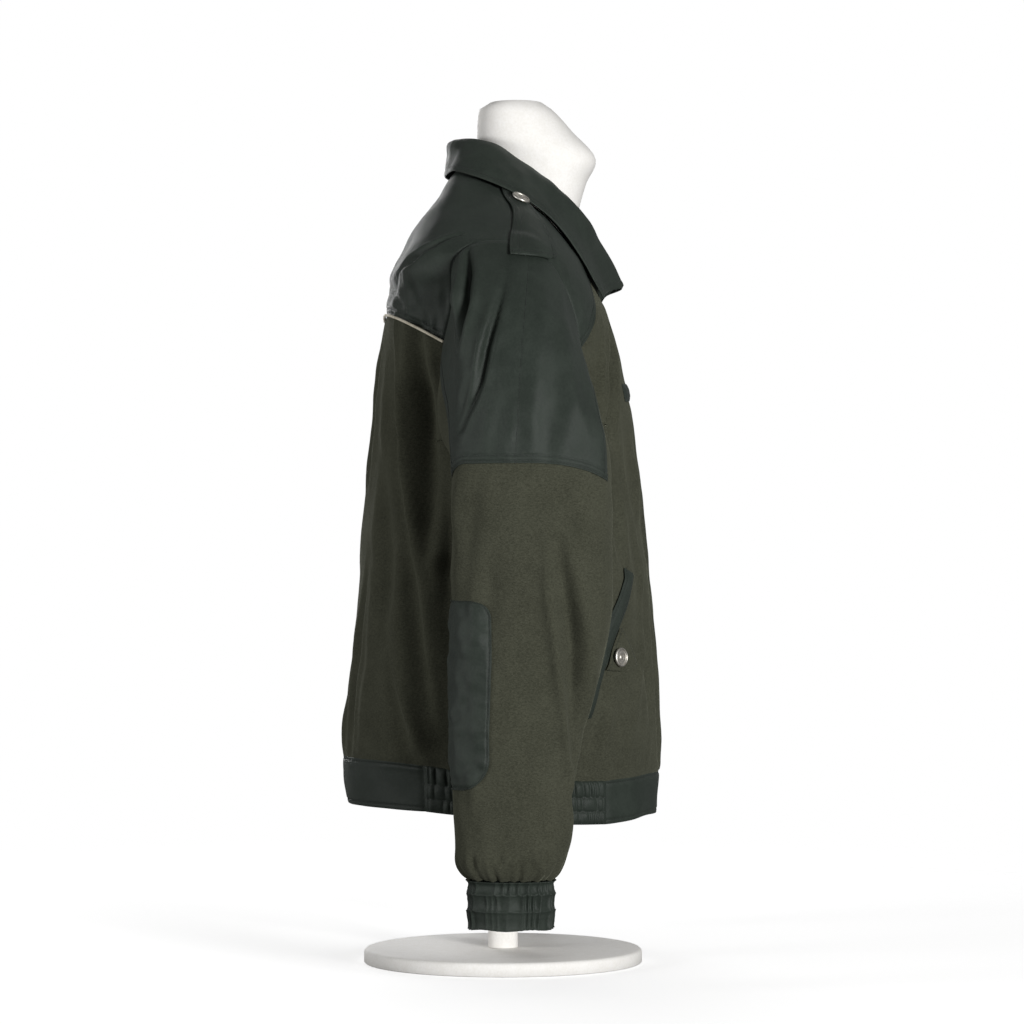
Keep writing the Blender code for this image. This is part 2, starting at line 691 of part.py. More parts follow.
def depthAtHeight(degrees, z):
    low, high = 0.0, 1.0
    for _ in range(30):
        s = (low + high) / 2
        low, high = (s, high) if capPoint(degrees, s).z > z else (low, s)
    return low


def columnAngle(column, s):
    """The sleeve's columns are 15 degrees apart at the armhole, and lean with the cap's edges below it."""
    base = column * 15.0
    lean = 34 * math.exp(-((base + 90) / 50) ** 2) - 10 * math.exp(-((base - 105) / 50) ** 2)
    return base + lean * min(1.0, s)


def sleeveColumn(column):
    points = []
    edge = capEdge.at(columnAngle(column, 0.85)).z
    last = depthAtHeight(columnAngle(column, 0.85), edge)
    for r in range(capRows + 1):
        s = last * r / capRows
        points.append(capPoint(columnAngle(column, s / last * 0.85), s))
    points.append(ringPoint(columnAngle(column, 1), sleeveRingTop - 0.004))
    for z in sleeveHeights:
        settle = max(0.0, 1 - (sleeveRingTop - z) / 0.09)
        points.append(ringPoint(columnAngle(column, settle), z))
    return points


def sleeveGrid():
    """Rows from the armhole down. Columns form a closed ring, from inside the arm round its front to its back."""
    columns = [sleeveColumn(c) for c in sleeveColumns]
    rows = [list(row) for row in zip(*columns)]
    armNormals = [bodyNormal(p) for p in rows[0]]
    middle = sum(rows[0], Vector()) / len(rows[0])
    start = []
    for p, n in zip(rows[0], armNormals):
        inward = (middle - p)
        inward = (inward - n * inward.dot(n)).normalized()
        start.append(p + inward * sleeveStart.inward + n * sleeveStart.out)
    rows[0] = start
    return creasedGrid(rows)


def overlayOf(grid, rowSpan, columnSpan, out):
    """A face of a cloth sewn over the sleeve: the sleeve's own points, moved out."""
    raised = lifted(grid, out, closed=True)
    places = [sleeveColumns.index(c) for c in range(columnSpan[0], columnSpan[1] + 1)]
    return [[raised[r][place] for place in places] for r in range(rowSpan[0], rowSpan[1] + 1)]


def patchFace(grid, out):
    """A face of the elbow patch. Its outer edge leans across the sleeve, which narrows below the elbow."""
    columns = overlayOf(grid, patchRows, (patchColumns[0] - 1, patchColumns[1]), out)
    for r, row in enumerate(columns):
        row[0] = row[1].lerp(row[0], mix(*patchLean, r / (len(columns) - 1)))
    return columns


def makeSleeves():
    rows = sleeveGrid()
    bothSides("sleeve", rows, lifted(rows, -fleeceWall, closed=True), fleece, closed=True)
    over = overlayGap + wovenWall
    cap = [overlayOf(rows, (0, capRows), (capFront, capBack), out) for out in (over, overlayGap)]
    bothSides("sleeve_cap", *cap, woven)
    patch = [patchFace(rows, out) for out in (over, overlayGap)]
    bothSides("elbow_patch", *patch, woven)


def makeCuffs():
    edge = sleeveRings.at(cuffTop)
    profile = ((cuffTop - 0.0003, 0.0), (0.1030, 0.0012), (0.091, 0.0004), (0.079, 0.0006), (cuffBottom, -0.0012))
    rows = []
    for z, out in profile:
        row = []
        across, along = edge.halfX - cuffInset + out, edge.halfY - cuffInset + out
        for c in sleeveColumns:
            angle = turnOf(c * 15)
            row.append(Vector((edge.x - across * power(math.cos(angle), 2 / sleevePower),
                               edge.y + along * power(math.sin(angle), 2 / sleevePower), z)))
        rows.append(row)
    rows.reverse()
    bothSides("cuff", rows, lifted(rows, -wovenWall, closed=True), woven, closed=True)


def collarLine(table, degrees):
    row = table.at(degrees)
    return Vector((-row.x, row.y, row.z))


def makeCollar():
    """Half grids from the right front end round to the nape, mirrored."""
    stand, leaf = [], []
    for turn in collarTurns:
        crest, edge = collarLine(foldLine, turn), collarLine(leafEdge, turn)
        root = neckPoint(mix(5, 180, turn / 180))
        root = root + bodyNormal(root) * standRoot.out + Vector((0, 0, standRoot.up))
        root += Vector((-root.x, neckHole.y - root.y, 0)).normalized() * standRoot.inward
        inward = Vector((-crest.x, neckHole.y - crest.y, 0)).normalized()
        top = crest + Vector((0, 0, -standTop)) + (root - crest).normalized() * 0.001
        stand.append([root, root.lerp(top, 0.5), top])
        roll = crest - inward * leafRoll.inward - Vector((0, 0, leafRoll.down))
        half = clearOfBody(crest.lerp(edge, 0.55) + Vector((0, 0, leafRoll.puff)), leafClear)
        leaf.append([clearOfBody(edge, leafClear), half, roll, crest + inward * leafRoll.over])
    for name, columns in (("collar_stand", stand), ("collar_leaf", leaf)):
        right = [list(row)[::-1] for row in zip(*columns)]
        whole = [a[:-1] + b for a, b in zip(mirrorGrid(right), right)]
        cloth(name, whole, lifted(whole, -wovenWall), woven)


def evenly(line, count):
    """The same line with this many equal steps."""
    reach = [0.0]
    for p, q in zip(line, line[1:]):
        reach.append(reach[-1] + (q - p).length)
    found, j = [], 0
    for i in range(count + 1):
        want = reach[-1] * i / count
        while j < len(line) - 2 and want > reach[j + 1]:
            j += 1
        found.append(line[j].lerp(line[j + 1], (want - reach[j]) / (reach[j + 1] - reach[j])))
    return found


def armholeAngle(y):
    """The place on the upper edge of the armhole that has this y."""
    low, high = -60.0, 20.0
    for _ in range(30):
        middle = (low + high) / 2
        low, high = (middle, high) if armholePoint(middle).y < y else (low, middle)
    return low


def strapColumn(side):
    """One lengthwise line of the strap, from under the collar over the yoke and onto the sleeve's cap."""
    y, z = strapEnd.y + side * strapEnd.wide / 2, mix(strapEnd.frontZ, strapEnd.backZ, (side + 1) / 2)
    angle = armholeAngle(y)
    edge = armholePoint(angle)
    last = edge if edge.z > z else onSide(y, z)
    line, steps = [], 8
    for i in range(steps):
        out = mix(strapLine.keys[0], -last.x, i / steps)
        row = strapLine.at(out)
        line.append(onShoulder(-out, row.y + side * row.wide / 2))
    line.append(last)
    if edge.z > z:
        depth = depthAtHeight(angle, z)
        line += [capPoint(angle, depth * i / 3) for i in (1, 2, 3)]
    return evenly(line, steps)


def makeStraps():
    rows = [list(row) for row in zip(*[strapColumn(side) for side in strapSides])]

    def face(out):
        raised = []
        for row, normals in zip(rows, gridNormals(rows)):
            rises = [min(1.0, max(0.0, (-p.x - strapRise.out) / strapRise.span)) * strapRise.high for p in row]
            raised.append([p + n * (out + rise) for p, n, rise in zip(row, normals, rises)])
        return raised
    bothSides("shoulder_strap", face(loosePatchGap + wovenWall), face(loosePatchGap), woven)


def button(name, place, normal, radius):
    rim = radius * 0.82
    profile = ((0, 0), (radius * 0.93, 0), (radius, 0.0008), (radius, 0.0020), (radius * 0.93, buttonThick),
               (rim, buttonThick), (rim * 0.94, buttonThick - 0.0008), (0, buttonThick - 0.0006))
    turned(name, profile, 14, metal, place, normal)


def frontPatch(places):
    """The outer and inner faces of a small piece sewn to the right front, from its (x, z) places, low row first."""
    return [creasedGrid([[onFront(x, z, out) for x, z in row] for row in places])
            for out in (loosePatchGap + wovenWall, loosePatchGap)]


def makeTrims():
    for side, word in ((1, "right"), (-1, "left")):
        seat = onShoulder(strapButton.x, strapButton.y, loosePatchGap + wovenWall + overlayGap * 2)
        normal = bodyNormal(seat)
        button("strap_button_" + word, (seat.x * side, seat.y, seat.z),
               (normal.x * side, normal.y, normal.z), strapButton.radius)
        seat = onFront(pocketButton.x, pocketButton.z, loosePatchGap + wovenWall + overlayGap * 2)
        normal = bodyNormal(seat)
        seat = creased(seat)
        button("pocket_button_" + word, (seat.x * side, seat.y, seat.z),
               (normal.x * side, normal.y, normal.z), pocketButton.radius)

    welt = []
    for i, (x, z) in enumerate(pocketLine):
        before, after = pocketLine[max(i - 1, 0)], pocketLine[min(i + 1, len(pocketLine) - 1)]
        along = Vector((after[0] - before[0], after[1] - before[1])).normalized()
        cross = Vector((-along.y, along.x)) * pocketWeltWide / 2
        welt.append([(x + cross.x, z + cross.y), (x - cross.x, z - cross.y)])
    bothSides("pocket_welt", *frontPatch(welt), woven)
    bothSides("pocket_tab", *frontPatch(pocketTab), fleece)
    chest = [[(x, z + side * chestWeltTall / 2) for x, z in chestLine] for side in (-1, 1)]
    cloth("chest_welt_right", *frontPatch(chest), woven)


def makeForm():
    """Torso and neck as one smooth skin: each ring reaches as far as the wider of the two, blended."""
    rows = []
    for z in formHeights:
        neck = neckRings.at(z)
        neck.power = neckPower
        middle = (neck.front + neck.back) / 2
        torso = formRings.at(z)
        row = []
        for i in range(formColumns):
            turn = 2 * math.pi * i / formColumns
            reach = 0.0
            if z >= neckRings.keys[0]:
                reach = ringRadius(neck, turn, middle)
            if z <= formRings.keys[-1]:
                reach = (reach ** formBlend + ringRadius(torso, turn, middle) ** formBlend) ** (1 / formBlend)
            row.append(Vector((reach * math.sin(turn), middle - reach * math.cos(turn), z)))
        rows.append(row)
    points = [p for row in rows for p in row]
    points += [sum(rows[0], Vector()) / formColumns, sum(rows[-1], Vector()) / formColumns]
    bottom, top, last = len(points) - 2, len(points) - 1, (len(rows) - 1) * formColumns
    faces = []
    for i in range(formColumns):
        j = (i + 1) % formColumns
        faces += [(bottom, j, i), (top, last + i, last + j)]
        for r in range(len(rows) - 1):
            a, b = r * formColumns + i, r * formColumns + j
            faces += [(a, b, b + formColumns), (a, b + formColumns, a + formColumns)]
    addObject("dress_form", points, faces, plaster)
    poleTop = formHeights[0] - solidGap
    foot = ((0, 0), (footRadius - 0.001, 0), (footRadius, 0.001), (footRadius, footThick - 0.003),
            (footRadius - 0.004, footThick), (0, footThick))
    turned("stand_base", foot, 48, plaster)
    pole = ((0, footThick + solidGap), (poleRadius, footThick + solidGap), (poleRadius, poleTop), (0, poleTop))
    turned("stand_pole", pole, 20, plaster)


makeBack()
makeFronts()
makeHem()
makeSleeves()
makeCuffs()
makeCollar()
makeStraps()
makeTrims()
makeForm()
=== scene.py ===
import math

import bpy
import numpy as np
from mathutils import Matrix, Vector


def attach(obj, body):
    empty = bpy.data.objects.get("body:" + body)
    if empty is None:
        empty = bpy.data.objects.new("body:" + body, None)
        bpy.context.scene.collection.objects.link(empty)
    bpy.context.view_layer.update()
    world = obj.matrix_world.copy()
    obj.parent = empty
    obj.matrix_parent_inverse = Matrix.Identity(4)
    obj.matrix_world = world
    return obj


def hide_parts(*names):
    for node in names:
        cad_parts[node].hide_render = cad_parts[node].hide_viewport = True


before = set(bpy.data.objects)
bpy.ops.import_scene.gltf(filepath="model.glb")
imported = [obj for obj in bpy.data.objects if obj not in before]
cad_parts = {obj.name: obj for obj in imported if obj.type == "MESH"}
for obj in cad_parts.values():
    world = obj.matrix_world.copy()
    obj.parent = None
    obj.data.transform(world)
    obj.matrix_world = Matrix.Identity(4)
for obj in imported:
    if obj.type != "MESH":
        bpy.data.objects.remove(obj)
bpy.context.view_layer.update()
print("frame loaded:", len(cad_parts), "nodes")

# Wall thicknesses and gaps, as in the solid model.
wall = {"fleece": 0.0022, "woven": 0.0014, "overlay": 0.0003, "loose": 0.0014}


class Table:  # rows sorted by their first column, read by a smooth curve that never overshoots
    def __init__(self, *rows):
        rows = np.array(rows, float)
        self.keys, self.values = rows[:, 0], rows[:, 1:]
        steps = np.diff(self.values, axis=0) / np.diff(self.keys)[:, None]
        before, after = steps[:-1], steps[1:]
        same = before * after > 0
        inner = np.where(same, 2 * before * after / np.where(same, before + after, 1.0), 0.0)
        self.slopes = np.vstack([steps[:1], inner, steps[-1:]])

    def at(self, key):
        key = np.clip(np.asarray(key, float), self.keys[0], self.keys[-1])
        i = np.clip(np.searchsorted(self.keys, key) - 1, 0, len(self.keys) - 2)
        span = (self.keys[i + 1] - self.keys[i])[..., None]
        k = (key - self.keys[i])[..., None] / span
        start, end = self.values[i], self.values[i + 1]
        found = (start * (1 + 2 * k) * (1 - k) ** 2 + self.slopes[i] * span * k * (1 - k) ** 2
                 + end * k * k * (3 - 2 * k) - self.slopes[i + 1] * span * k * k * (1 - k))
        return np.moveaxis(found, -1, 0)


# The cloth round the body as level rings: z, front, back, half width, power of the rounded box.
bodyRings = Table(
    (0.15, -0.166, 0.166, 0.2, 2.4), (0.215, -0.168, 0.172, 0.205, 2.4),
    (0.235, -0.1685, 0.171, 0.214, 2.4), (0.3, -0.1665, 0.165, 0.224, 2.4),
    (0.39, -0.159, 0.1566, 0.222, 2.4), (0.455, -0.152, 0.152, 0.217, 2.4),
    (0.5325, -0.145, 0.145, 0.211, 2.4), (0.61, -0.134, 0.138, 0.208, 2.5),
    (0.649, -0.124, 0.134, 0.208, 2.6), (0.69, -0.1135, 0.126, 0.212, 2.7),
    (0.715, -0.103, 0.1225, 0.217, 2.8), (0.735, -0.091, 0.119, 0.221, 3), (0.749, -0.084, 0.114, 0.22, 3),
    (0.76, -0.0765, 0.108, 0.212, 3), (0.774, -0.068, 0.101, 0.193, 3), (0.79, -0.056, 0.092, 0.171, 3),
    (0.8065, -0.04, 0.08, 0.145, 3), (0.82, -0.022, 0.07, 0.124, 3), (0.832, 0, 0.0635, 0.104, 3),
    (0.842, 0.02, 0.057, 0.082, 3), (0.852, 0.032, 0.05, 0.05, 3), (0.858, 0.038, 0.044, 0.02, 3))
formRings = Table(
    (0.205, -0.112, 0.112, 0.148, 2.4), (0.216, -0.124, 0.124, 0.162, 2.4), (0.3, -0.128, 0.13, 0.168, 2.4),
    (0.4, -0.113, 0.108, 0.148, 2.3), (0.45, -0.109, 0.102, 0.142, 2.3), (0.55, -0.116, 0.116, 0.158, 2.3),
    (0.64, -0.112, 0.12, 0.176, 2.4), (0.69, -0.1, 0.113, 0.188, 2.5), (0.715, -0.09, 0.1105, 0.197, 2.6),
    (0.735, -0.078, 0.106, 0.201, 2.8), (0.749, -0.07, 0.1, 0.197, 2.9), (0.76, -0.062, 0.093, 0.183, 3),
    (0.774, -0.051, 0.085, 0.161, 3), (0.79, -0.037, 0.074, 0.136, 3), (0.8065, -0.018, 0.062, 0.108, 3),
    (0.82, 0.002, 0.052, 0.082, 3), (0.832, 0.018, 0.042, 0.05, 3), (0.84, 0.026, 0.034, 0.018, 3))
neckRings = Table(
    (0.69, -0.05, 0.036, 0.05), (0.78, -0.074, 0.038, 0.058), (0.84, -0.09, 0.029, 0.06),
    (0.863, -0.1004, 0.028, 0.061), (0.896, -0.074, 0.028, 0.058), (0.9178, -0.054, 0.026, 0.053),
    (0.9255, -0.043, 0.015, 0.043))
sleeveRings = Table(  # z, x, y, half x, half y
    (0.1153, -0.288, -0.0087, 0.033, 0.0434), (0.124, -0.289, -0.007, 0.0385, 0.0515),
    (0.154, -0.29, -0.01, 0.0425, 0.0585), (0.22, -0.291, -0.011, 0.044, 0.061),
    (0.2955, -0.289, -0.021, 0.047, 0.072), (0.396, -0.285, -0.033, 0.051, 0.0845),
    (0.5, -0.279, -0.032, 0.054, 0.084))
sleeveSlope = Table((0, 35.0), (60, 40.0), (120, 52.0), (180, 62.0))
capEdge = Table(
    (-75, 0.511), (0, 0.534), (58, 0.533), (82, 0.5195), (105, 0.51))
hemLines = Table(
    (0, 0.1625, 0.209), (31, 0.1655, 0.2095), (57, 0.1613, 0.2063), (90, 0.1675, 0.2135),
    (113, 0.1757, 0.2228), (127, 0.1768, 0.2266), (180, 0.174, 0.2242))
strapLine = Table(  # distance out from the neck, y, width
    (0.108, -0.011, 0.024), (0.1275, -0.018, 0.032), (0.15, -0.0285, 0.037), (0.176, -0.0318, 0.041),
    (0.212, -0.0312, 0.048))
foldLine = Table(
    (0, 0.013, -0.124, 0.7335), (8, 0.012, -0.113, 0.756), (16, 0.018, -0.099, 0.778),
    (28, 0.034, -0.0915, 0.793), (42, 0.05, -0.0815, 0.808), (58, 0.064, -0.064, 0.825),
    (78, 0.0715, -0.039, 0.8455), (92, 0.0725, -0.021, 0.857), (106, 0.071, -0.004, 0.8695),
    (120, 0.067, 0.012, 0.8785), (140, 0.054, 0.032, 0.883), (160, 0.033, 0.048, 0.885),
    (180, 0, 0.0555, 0.885))
leafEdge = Table(
    (0, 0.083, -0.104, 0.7115), (16, 0.09, -0.096, 0.725), (32, 0.099, -0.08, 0.751),
    (46, 0.107, -0.064, 0.776), (62, 0.114, -0.043, 0.798), (78, 0.118, -0.024, 0.813),
    (92, 0.117, -0.006, 0.825), (106, 0.112, 0.0145, 0.8345), (120, 0.1, 0.0345, 0.842),
    (140, 0.076, 0.05, 0.847), (160, 0.042, 0.06, 0.848), (180, 0, 0.064, 0.8475))

neckHole = {"y": -0.0265, "half": 0.078, "depth": 0.0785}
armhole = {"y": -0.010, "z": 0.651, "high": 0.111, "wide": 0.069, "power": 2.6, "lean": 0.015,
           "hollow": 0.0155, "hollowAt": 0.50, "hollowSpan": 0.26}
sleeve = {"power": 2.25, "ringTop": 0.500, "capRows": 5, "bulgeAngle": 113.0, "bulgeWidth": 22.0,
          "bulgeAt": 0.34, "bulgeSpan": 0.30, "bulgeOut": 0.018,
          "heights": (0.448, 0.397, 0.349, 0.301, 0.253, 0.206, 0.158, 0.130, 0.1153)}
placketHalf = 0.030
placketTurn = 22.6
upward = np.array((0.0, 0.0, 1.0))
mirrored = np.array((-1.0, 1.0, 1.0))
sides = (("right", 0), ("left", 1))


def unit(v):
    return v / np.maximum(np.linalg.norm(v, axis=-1, keepdims=True), 1e-12)


def bell(value, width):  # 1 at 0, fading out over the width
    return np.exp(-(value / width) ** 2)


def signedPower(value, exponent):
    return np.sign(value) * np.abs(value) ** exponent


def smooth(value, low, high):
    k = np.clip((value - low) / (high - low), 0, 1)
    return k * k * (3 - 2 * k)


def points(x, y, z):
    return np.stack(np.broadcast_arrays(x, y, z), axis=-1).astype(float)


def bodyShape(z):
    front, back, half, sharp = bodyRings.at(z)
    return (front + back) / 2, (back - front) / 2, half, sharp


def outside(p):  # below 1 inside the body's cloth, above 1 outside it
    centre, depth, half, sharp = bodyShape(p[..., 2])
    return np.abs(p[..., 0] / half) ** sharp + np.abs((p[..., 1] - centre) / depth) ** sharp


def bodyNormal(p):
    shifts = np.eye(3) * 0.0005
    return unit(np.stack([outside(p + s) - outside(p - s) for s in shifts], axis=-1))


def halved(low, high, isLow, rounds=30):  # bisection on whole arrays
    for _ in range(rounds):
        middle = (low + high) / 2
        below = isLow(middle)
        low, high = np.where(below, middle, low), np.where(below, high, middle)
    return low


def ontoBody(p):
    p = np.asarray(p, float)
    low = np.minimum(p[..., 2], 0.640)
    centre, _, _, _ = bodyShape(low)
    start = points(0 * centre, centre, low)
    reach = p - start
    k = halved(np.full(p.shape[:-1], 0.3), np.full(p.shape[:-1], 1.8),
               lambda k: outside(start + reach * k[..., None]) < 1)
    return start + reach * k[..., None]


def clearOfBody(p, gap):
    foot = ontoBody(p)
    normal = bodyNormal(foot)
    high = np.sum((p - foot) * normal, axis=-1, keepdims=True)
    return p + normal * np.maximum(0.0, gap - high)


def onRing(degrees, z):
    centre, depth, half, sharp = bodyShape(z)
    turn = np.radians(degrees)
    reach = (np.abs(np.sin(turn) / half) ** sharp + np.abs(np.cos(turn) / depth) ** sharp) ** (-1 / sharp)
    return points(reach * np.sin(turn), centre - reach * np.cos(turn), z)


def onFace(x, z, side=-1):  # on the front half, or on the back half with side 1
    centre, depth, half, sharp = bodyShape(z)
    return points(x, centre + side * depth * (1 - np.abs(x / half) ** sharp) ** (1 / sharp), z)


def onSide(y, z):  # on the right side, from its place seen from the side
    centre, depth, half, sharp = bodyShape(z)
    flat = np.clip(1 - np.abs((y - centre) / depth) ** sharp, 1e-6, 1)
    return points(-half * flat ** (1 / sharp), y, z)


def onShoulder(x, y):
    x, y = np.broadcast_arrays(np.asarray(x, float), np.asarray(y, float))
    z = halved(np.full(x.shape, 0.70), np.full(x.shape, 0.858), lambda z: outside(points(x, y, z)) < 1)
    return points(x, y, z)


def armholePoint(degrees):  # 0 is the top, 90 the back, -90 the front and 180 the underarm
    angle = np.radians(degrees)
    up = signedPower(np.cos(angle), 2 / armhole["power"])
    back = signedPower(np.sin(angle), 2 / armhole["power"])
    hollow = np.exp(-((up - armhole["hollowAt"]) / armhole["hollowSpan"]) ** 2) * np.maximum(0.0, back)
    y = armhole["y"] + armhole["lean"] * up + armhole["wide"] * back - armhole["hollow"] * hollow
    return onSide(y, armhole["z"] + armhole["high"] * up)


def neckPoint(degrees):  # 0 is the front, 90 the right side and 180 the nape
    angle = np.radians(degrees)
    return onShoulder(-neckHole["half"] * np.sin(angle), neckHole["y"] - neckHole["depth"] * np.cos(angle))


def hemPoint(degrees, edge):
    fold = np.abs((np.asarray(degrees, float) + 180) % 360 - 180)
    return onRing(degrees, hemLines.at(fold)[edge])


def lineOf(start, end, count, bend=1.0):
    k = np.linspace(0, 1, count + 1)[:, None]
    line = start + (end - start) * k
    line[:, 2] = start[2] + (end[2] - start[2]) * k[:, 0] ** bend
    line[1:-1] = ontoBody(line[1:-1])
    return line


def patchGrid(bottom, top, left, right, evenings=0):
    v = np.linspace(0, 1, len(left))[:, None, None]
    u = np.linspace(0, 1, len(bottom))[None, :, None]
    across = left[:, None] * (1 - u) + right[:, None] * u
    along = bottom[None] * (1 - v) + top[None] * v
    corners = ((bottom[0] * (1 - u) + bottom[-1] * u) * (1 - v) + (top[0] * (1 - u) + top[-1] * u) * v)
    grid = across + along - corners
    for _ in range(evenings):
        grid[1:-1, 1:-1] = ontoBody((grid[:-2, 1:-1] + grid[2:, 1:-1] + grid[1:-1, :-2] + grid[1:-1, 2:]) / 4)
    grid[1:-1, 1:-1] = ontoBody(grid[1:-1, 1:-1])
    return grid


def mirrorGrid(grid):
    return grid[:, ::-1] * mirrored


def turned(grid, left):  # a right-hand grid, mirrored for the left side
    return mirrorGrid(grid) if left else grid


def flipped(line, left):  # the same for a line or a place
    return line * (mirrored if left else 1.0)


def sample(values, places):  # a smooth curve through the first axis, read at fractional places
    values = np.asarray(values, float)
    steps = np.diff(values, axis=0)
    span = np.linalg.norm(steps, axis=-1, keepdims=True) + 1e-9
    slope = steps / span
    inner = (span[1:] * slope[:-1] + span[:-1] * slope[1:]) / (span[:-1] + span[1:])
    slope = np.concatenate([slope[:1], inner, slope[-1:]])
    i = np.clip(np.floor(places).astype(int), 0, len(values) - 2)
    k = (places - i).reshape(-1, *[1] * (values.ndim - 1))
    return (values[i] * (1 + 2 * k) * (1 - k) ** 2 + slope[i] * span[i] * k * (1 - k) ** 2
            + values[i + 1] * k * k * (3 - 2 * k) - slope[i + 1] * span[i] * k * k * (1 - k))


def sampleRing(grid, n):  # the same round a closed ring of columns
    count = grid.shape[1]
    wrapped = np.concatenate([grid[:, -2:], grid, grid[:, :3]], axis=1)
    places = 2 + np.arange(count * n) / n
    return np.moveaxis(sample(np.moveaxis(wrapped, 1, 0), places), 0, 1)


# Extra lines near a piece's edges, and the least step to the next even one.
edgeSteps = (0.0007, 0.0014, 0.0022, 0.0030, 0.0042, 0.0056, 0.0070, 0.0080, 0.0090, 0.0106)
edgeClear = 0.0025


def placesAlong(grid, n, start=True, end=True):  # even lines, and close ones where cloth turns at its edges
    lengths = np.linalg.norm(np.diff(grid, axis=0), axis=-1)
    lengths = np.mean(lengths, axis=tuple(range(1, lengths.ndim)))
    cells = len(lengths)
    extra = []
    if start:
        extra += [s / lengths[0] for s in edgeSteps]
    if end:
        extra += [cells - s / lengths[-1] for s in edgeSteps]
    even = [k / n for k in range(cells * n + 1)]
    if start:
        even = [p for p in even if p == 0 or p > extra[len(edgeSteps) - 1] + edgeClear / lengths[0]]
    if end:
        even = [p for p in even if p == cells or p < extra[-1] - edgeClear / lengths[-1]]
    return np.array(sorted(even + extra))


def fineGrid(grid, rows, columns, edges="btlr"):
    grid = sample(grid, placesAlong(grid, rows, "b" in edges, "t" in edges))
    turned = np.moveaxis(grid, 1, 0)
    return np.moveaxis(sample(turned, placesAlong(turned, columns, "l" in edges, "r" in edges)), 0, 1)


def gridNormals(grid, closed=False):
    across = np.roll(grid, -1, 1) - np.roll(grid, 1, 1) if closed else np.gradient(grid, axis=1)
    return unit(np.cross(across, np.gradient(grid, axis=0)))


def arcs(grid, axis):  # distance from the first line, along one axis
    steps = np.linalg.norm(np.diff(grid, axis=axis), axis=-1)
    zero = np.zeros_like(np.take(steps, [0], axis=axis))
    return np.concatenate([zero, np.cumsum(steps, axis=axis)], axis=axis)


def edgeDistances(grid, edges="btlr"):
    up, across = arcs(grid, 0), arcs(grid, 1)
    far = np.full(up.shape, 1.0)
    found = {"b": up, "t": up[-1:] - up, "l": across, "r": across[:, -1:] - across}
    return {name: (distance if name in edges else far) for name, distance in found.items()}


def nearest(distances, edges="btlr"):  # how far the closest of these edges is
    return np.minimum.reduce([distances[edge] for edge in edges])


# The largest folds of the solid model, on the right half: start, end, half width, depth (a ridge is below 0).
largeFolds = (
    ((-0.196, 0.086, 0.600), (-0.204, 0.078, 0.470), 0.026, 0.008),
    ((-0.160, 0.106, 0.560), (-0.206, 0.058, 0.250), 0.022, 0.005),
    ((-0.178, 0.110, 0.440), (-0.196, 0.088, 0.250), 0.020, -0.004),
    ((-0.176, -0.098, 0.625), (-0.166, -0.106, 0.555), 0.020, 0.007),
    ((-0.112, -0.146, 0.500), (-0.104, -0.156, 0.330), 0.022, 0.004),
    ((-0.272, 0.002, 0.700), (-0.322, 0.034, 0.575), 0.020, 0.006),
    ((-0.330, -0.034, 0.410), (-0.330, -0.066, 0.230), 0.020, 0.005))


def creased(p):  # in towards the wearer at a valley, out at a ridge
    here = p * np.where(p[..., :1] > 0, mirrored, 1.0)
    centre = np.where(here[..., :1] < -0.232, np.array((-0.285, -0.020, 0.0)), 0.0)
    inward = unit((here - centre) * np.array((1, 1, 0)))
    push = 0.0
    for start, end, width, depth in largeFolds:
        start, along = np.array(start), np.array(end) - np.array(start)
        k = np.clip(((here - start) @ along) / (along @ along), 0, 1)
        away = np.linalg.norm(here - start - along * k[..., None], axis=-1)
        away = away / (width * (0.5 + 0.5 * np.sin(math.pi * np.clip(k, 0.1, 0.9))))
        push = push - depth * np.exp(-away * away)
    moved = inward * np.asarray(push)[..., None]
    return p + moved * np.where(p[..., :1] > 0, mirrored, 1.0)


def foldDepth(p, path, width, depth, flat=None):  # how far one soft trough draws cloth in; flat drops an axis
    path = np.asarray(path, float)
    if flat is not None:
        keep = [a for a in range(3) if a != flat]
        p, path = p[..., keep], path[..., keep] if path.shape[-1] == 3 else path
    spans = np.linalg.norm(np.diff(path, axis=0), axis=-1)
    total, before = spans.sum(), 0.0
    best, along = np.full(p.shape[:-1], 9.0), np.zeros(p.shape[:-1])
    for start, end, span in zip(path, path[1:], spans):
        k = np.clip(((p - start) @ (end - start)) / span ** 2, 0, 1)
        away = np.linalg.norm(p - start - (end - start) * k[..., None], axis=-1)
        nearer = away < best
        best = np.where(nearer, away, best)
        along = np.where(nearer, (before + k * span) / total, along)
        before += span
    taper = np.sin(math.pi * np.clip(along, 0.06, 0.94)) ** 0.7
    t = best / (width * (0.55 + 0.45 * taper))
    rim = 0.32 * np.exp(-((t - 1.9) ** 2) / 0.7) if depth > 0 else 0.0
    return depth * taper * (np.exp(-t * t) - rim)


def ripple(p, length, seed, count=9):  # smooth uneven waves of about this length, from -1 to 1
    rng = np.random.default_rng(seed)
    total = 0.0
    for _ in range(count):
        wave = unit(rng.normal(size=3)) * 2 * math.pi / (length * rng.uniform(0.7, 1.6))
        total = total + np.sin(p @ wave + rng.uniform(0, 6.28))
    return total / math.sqrt(count) * 0.9


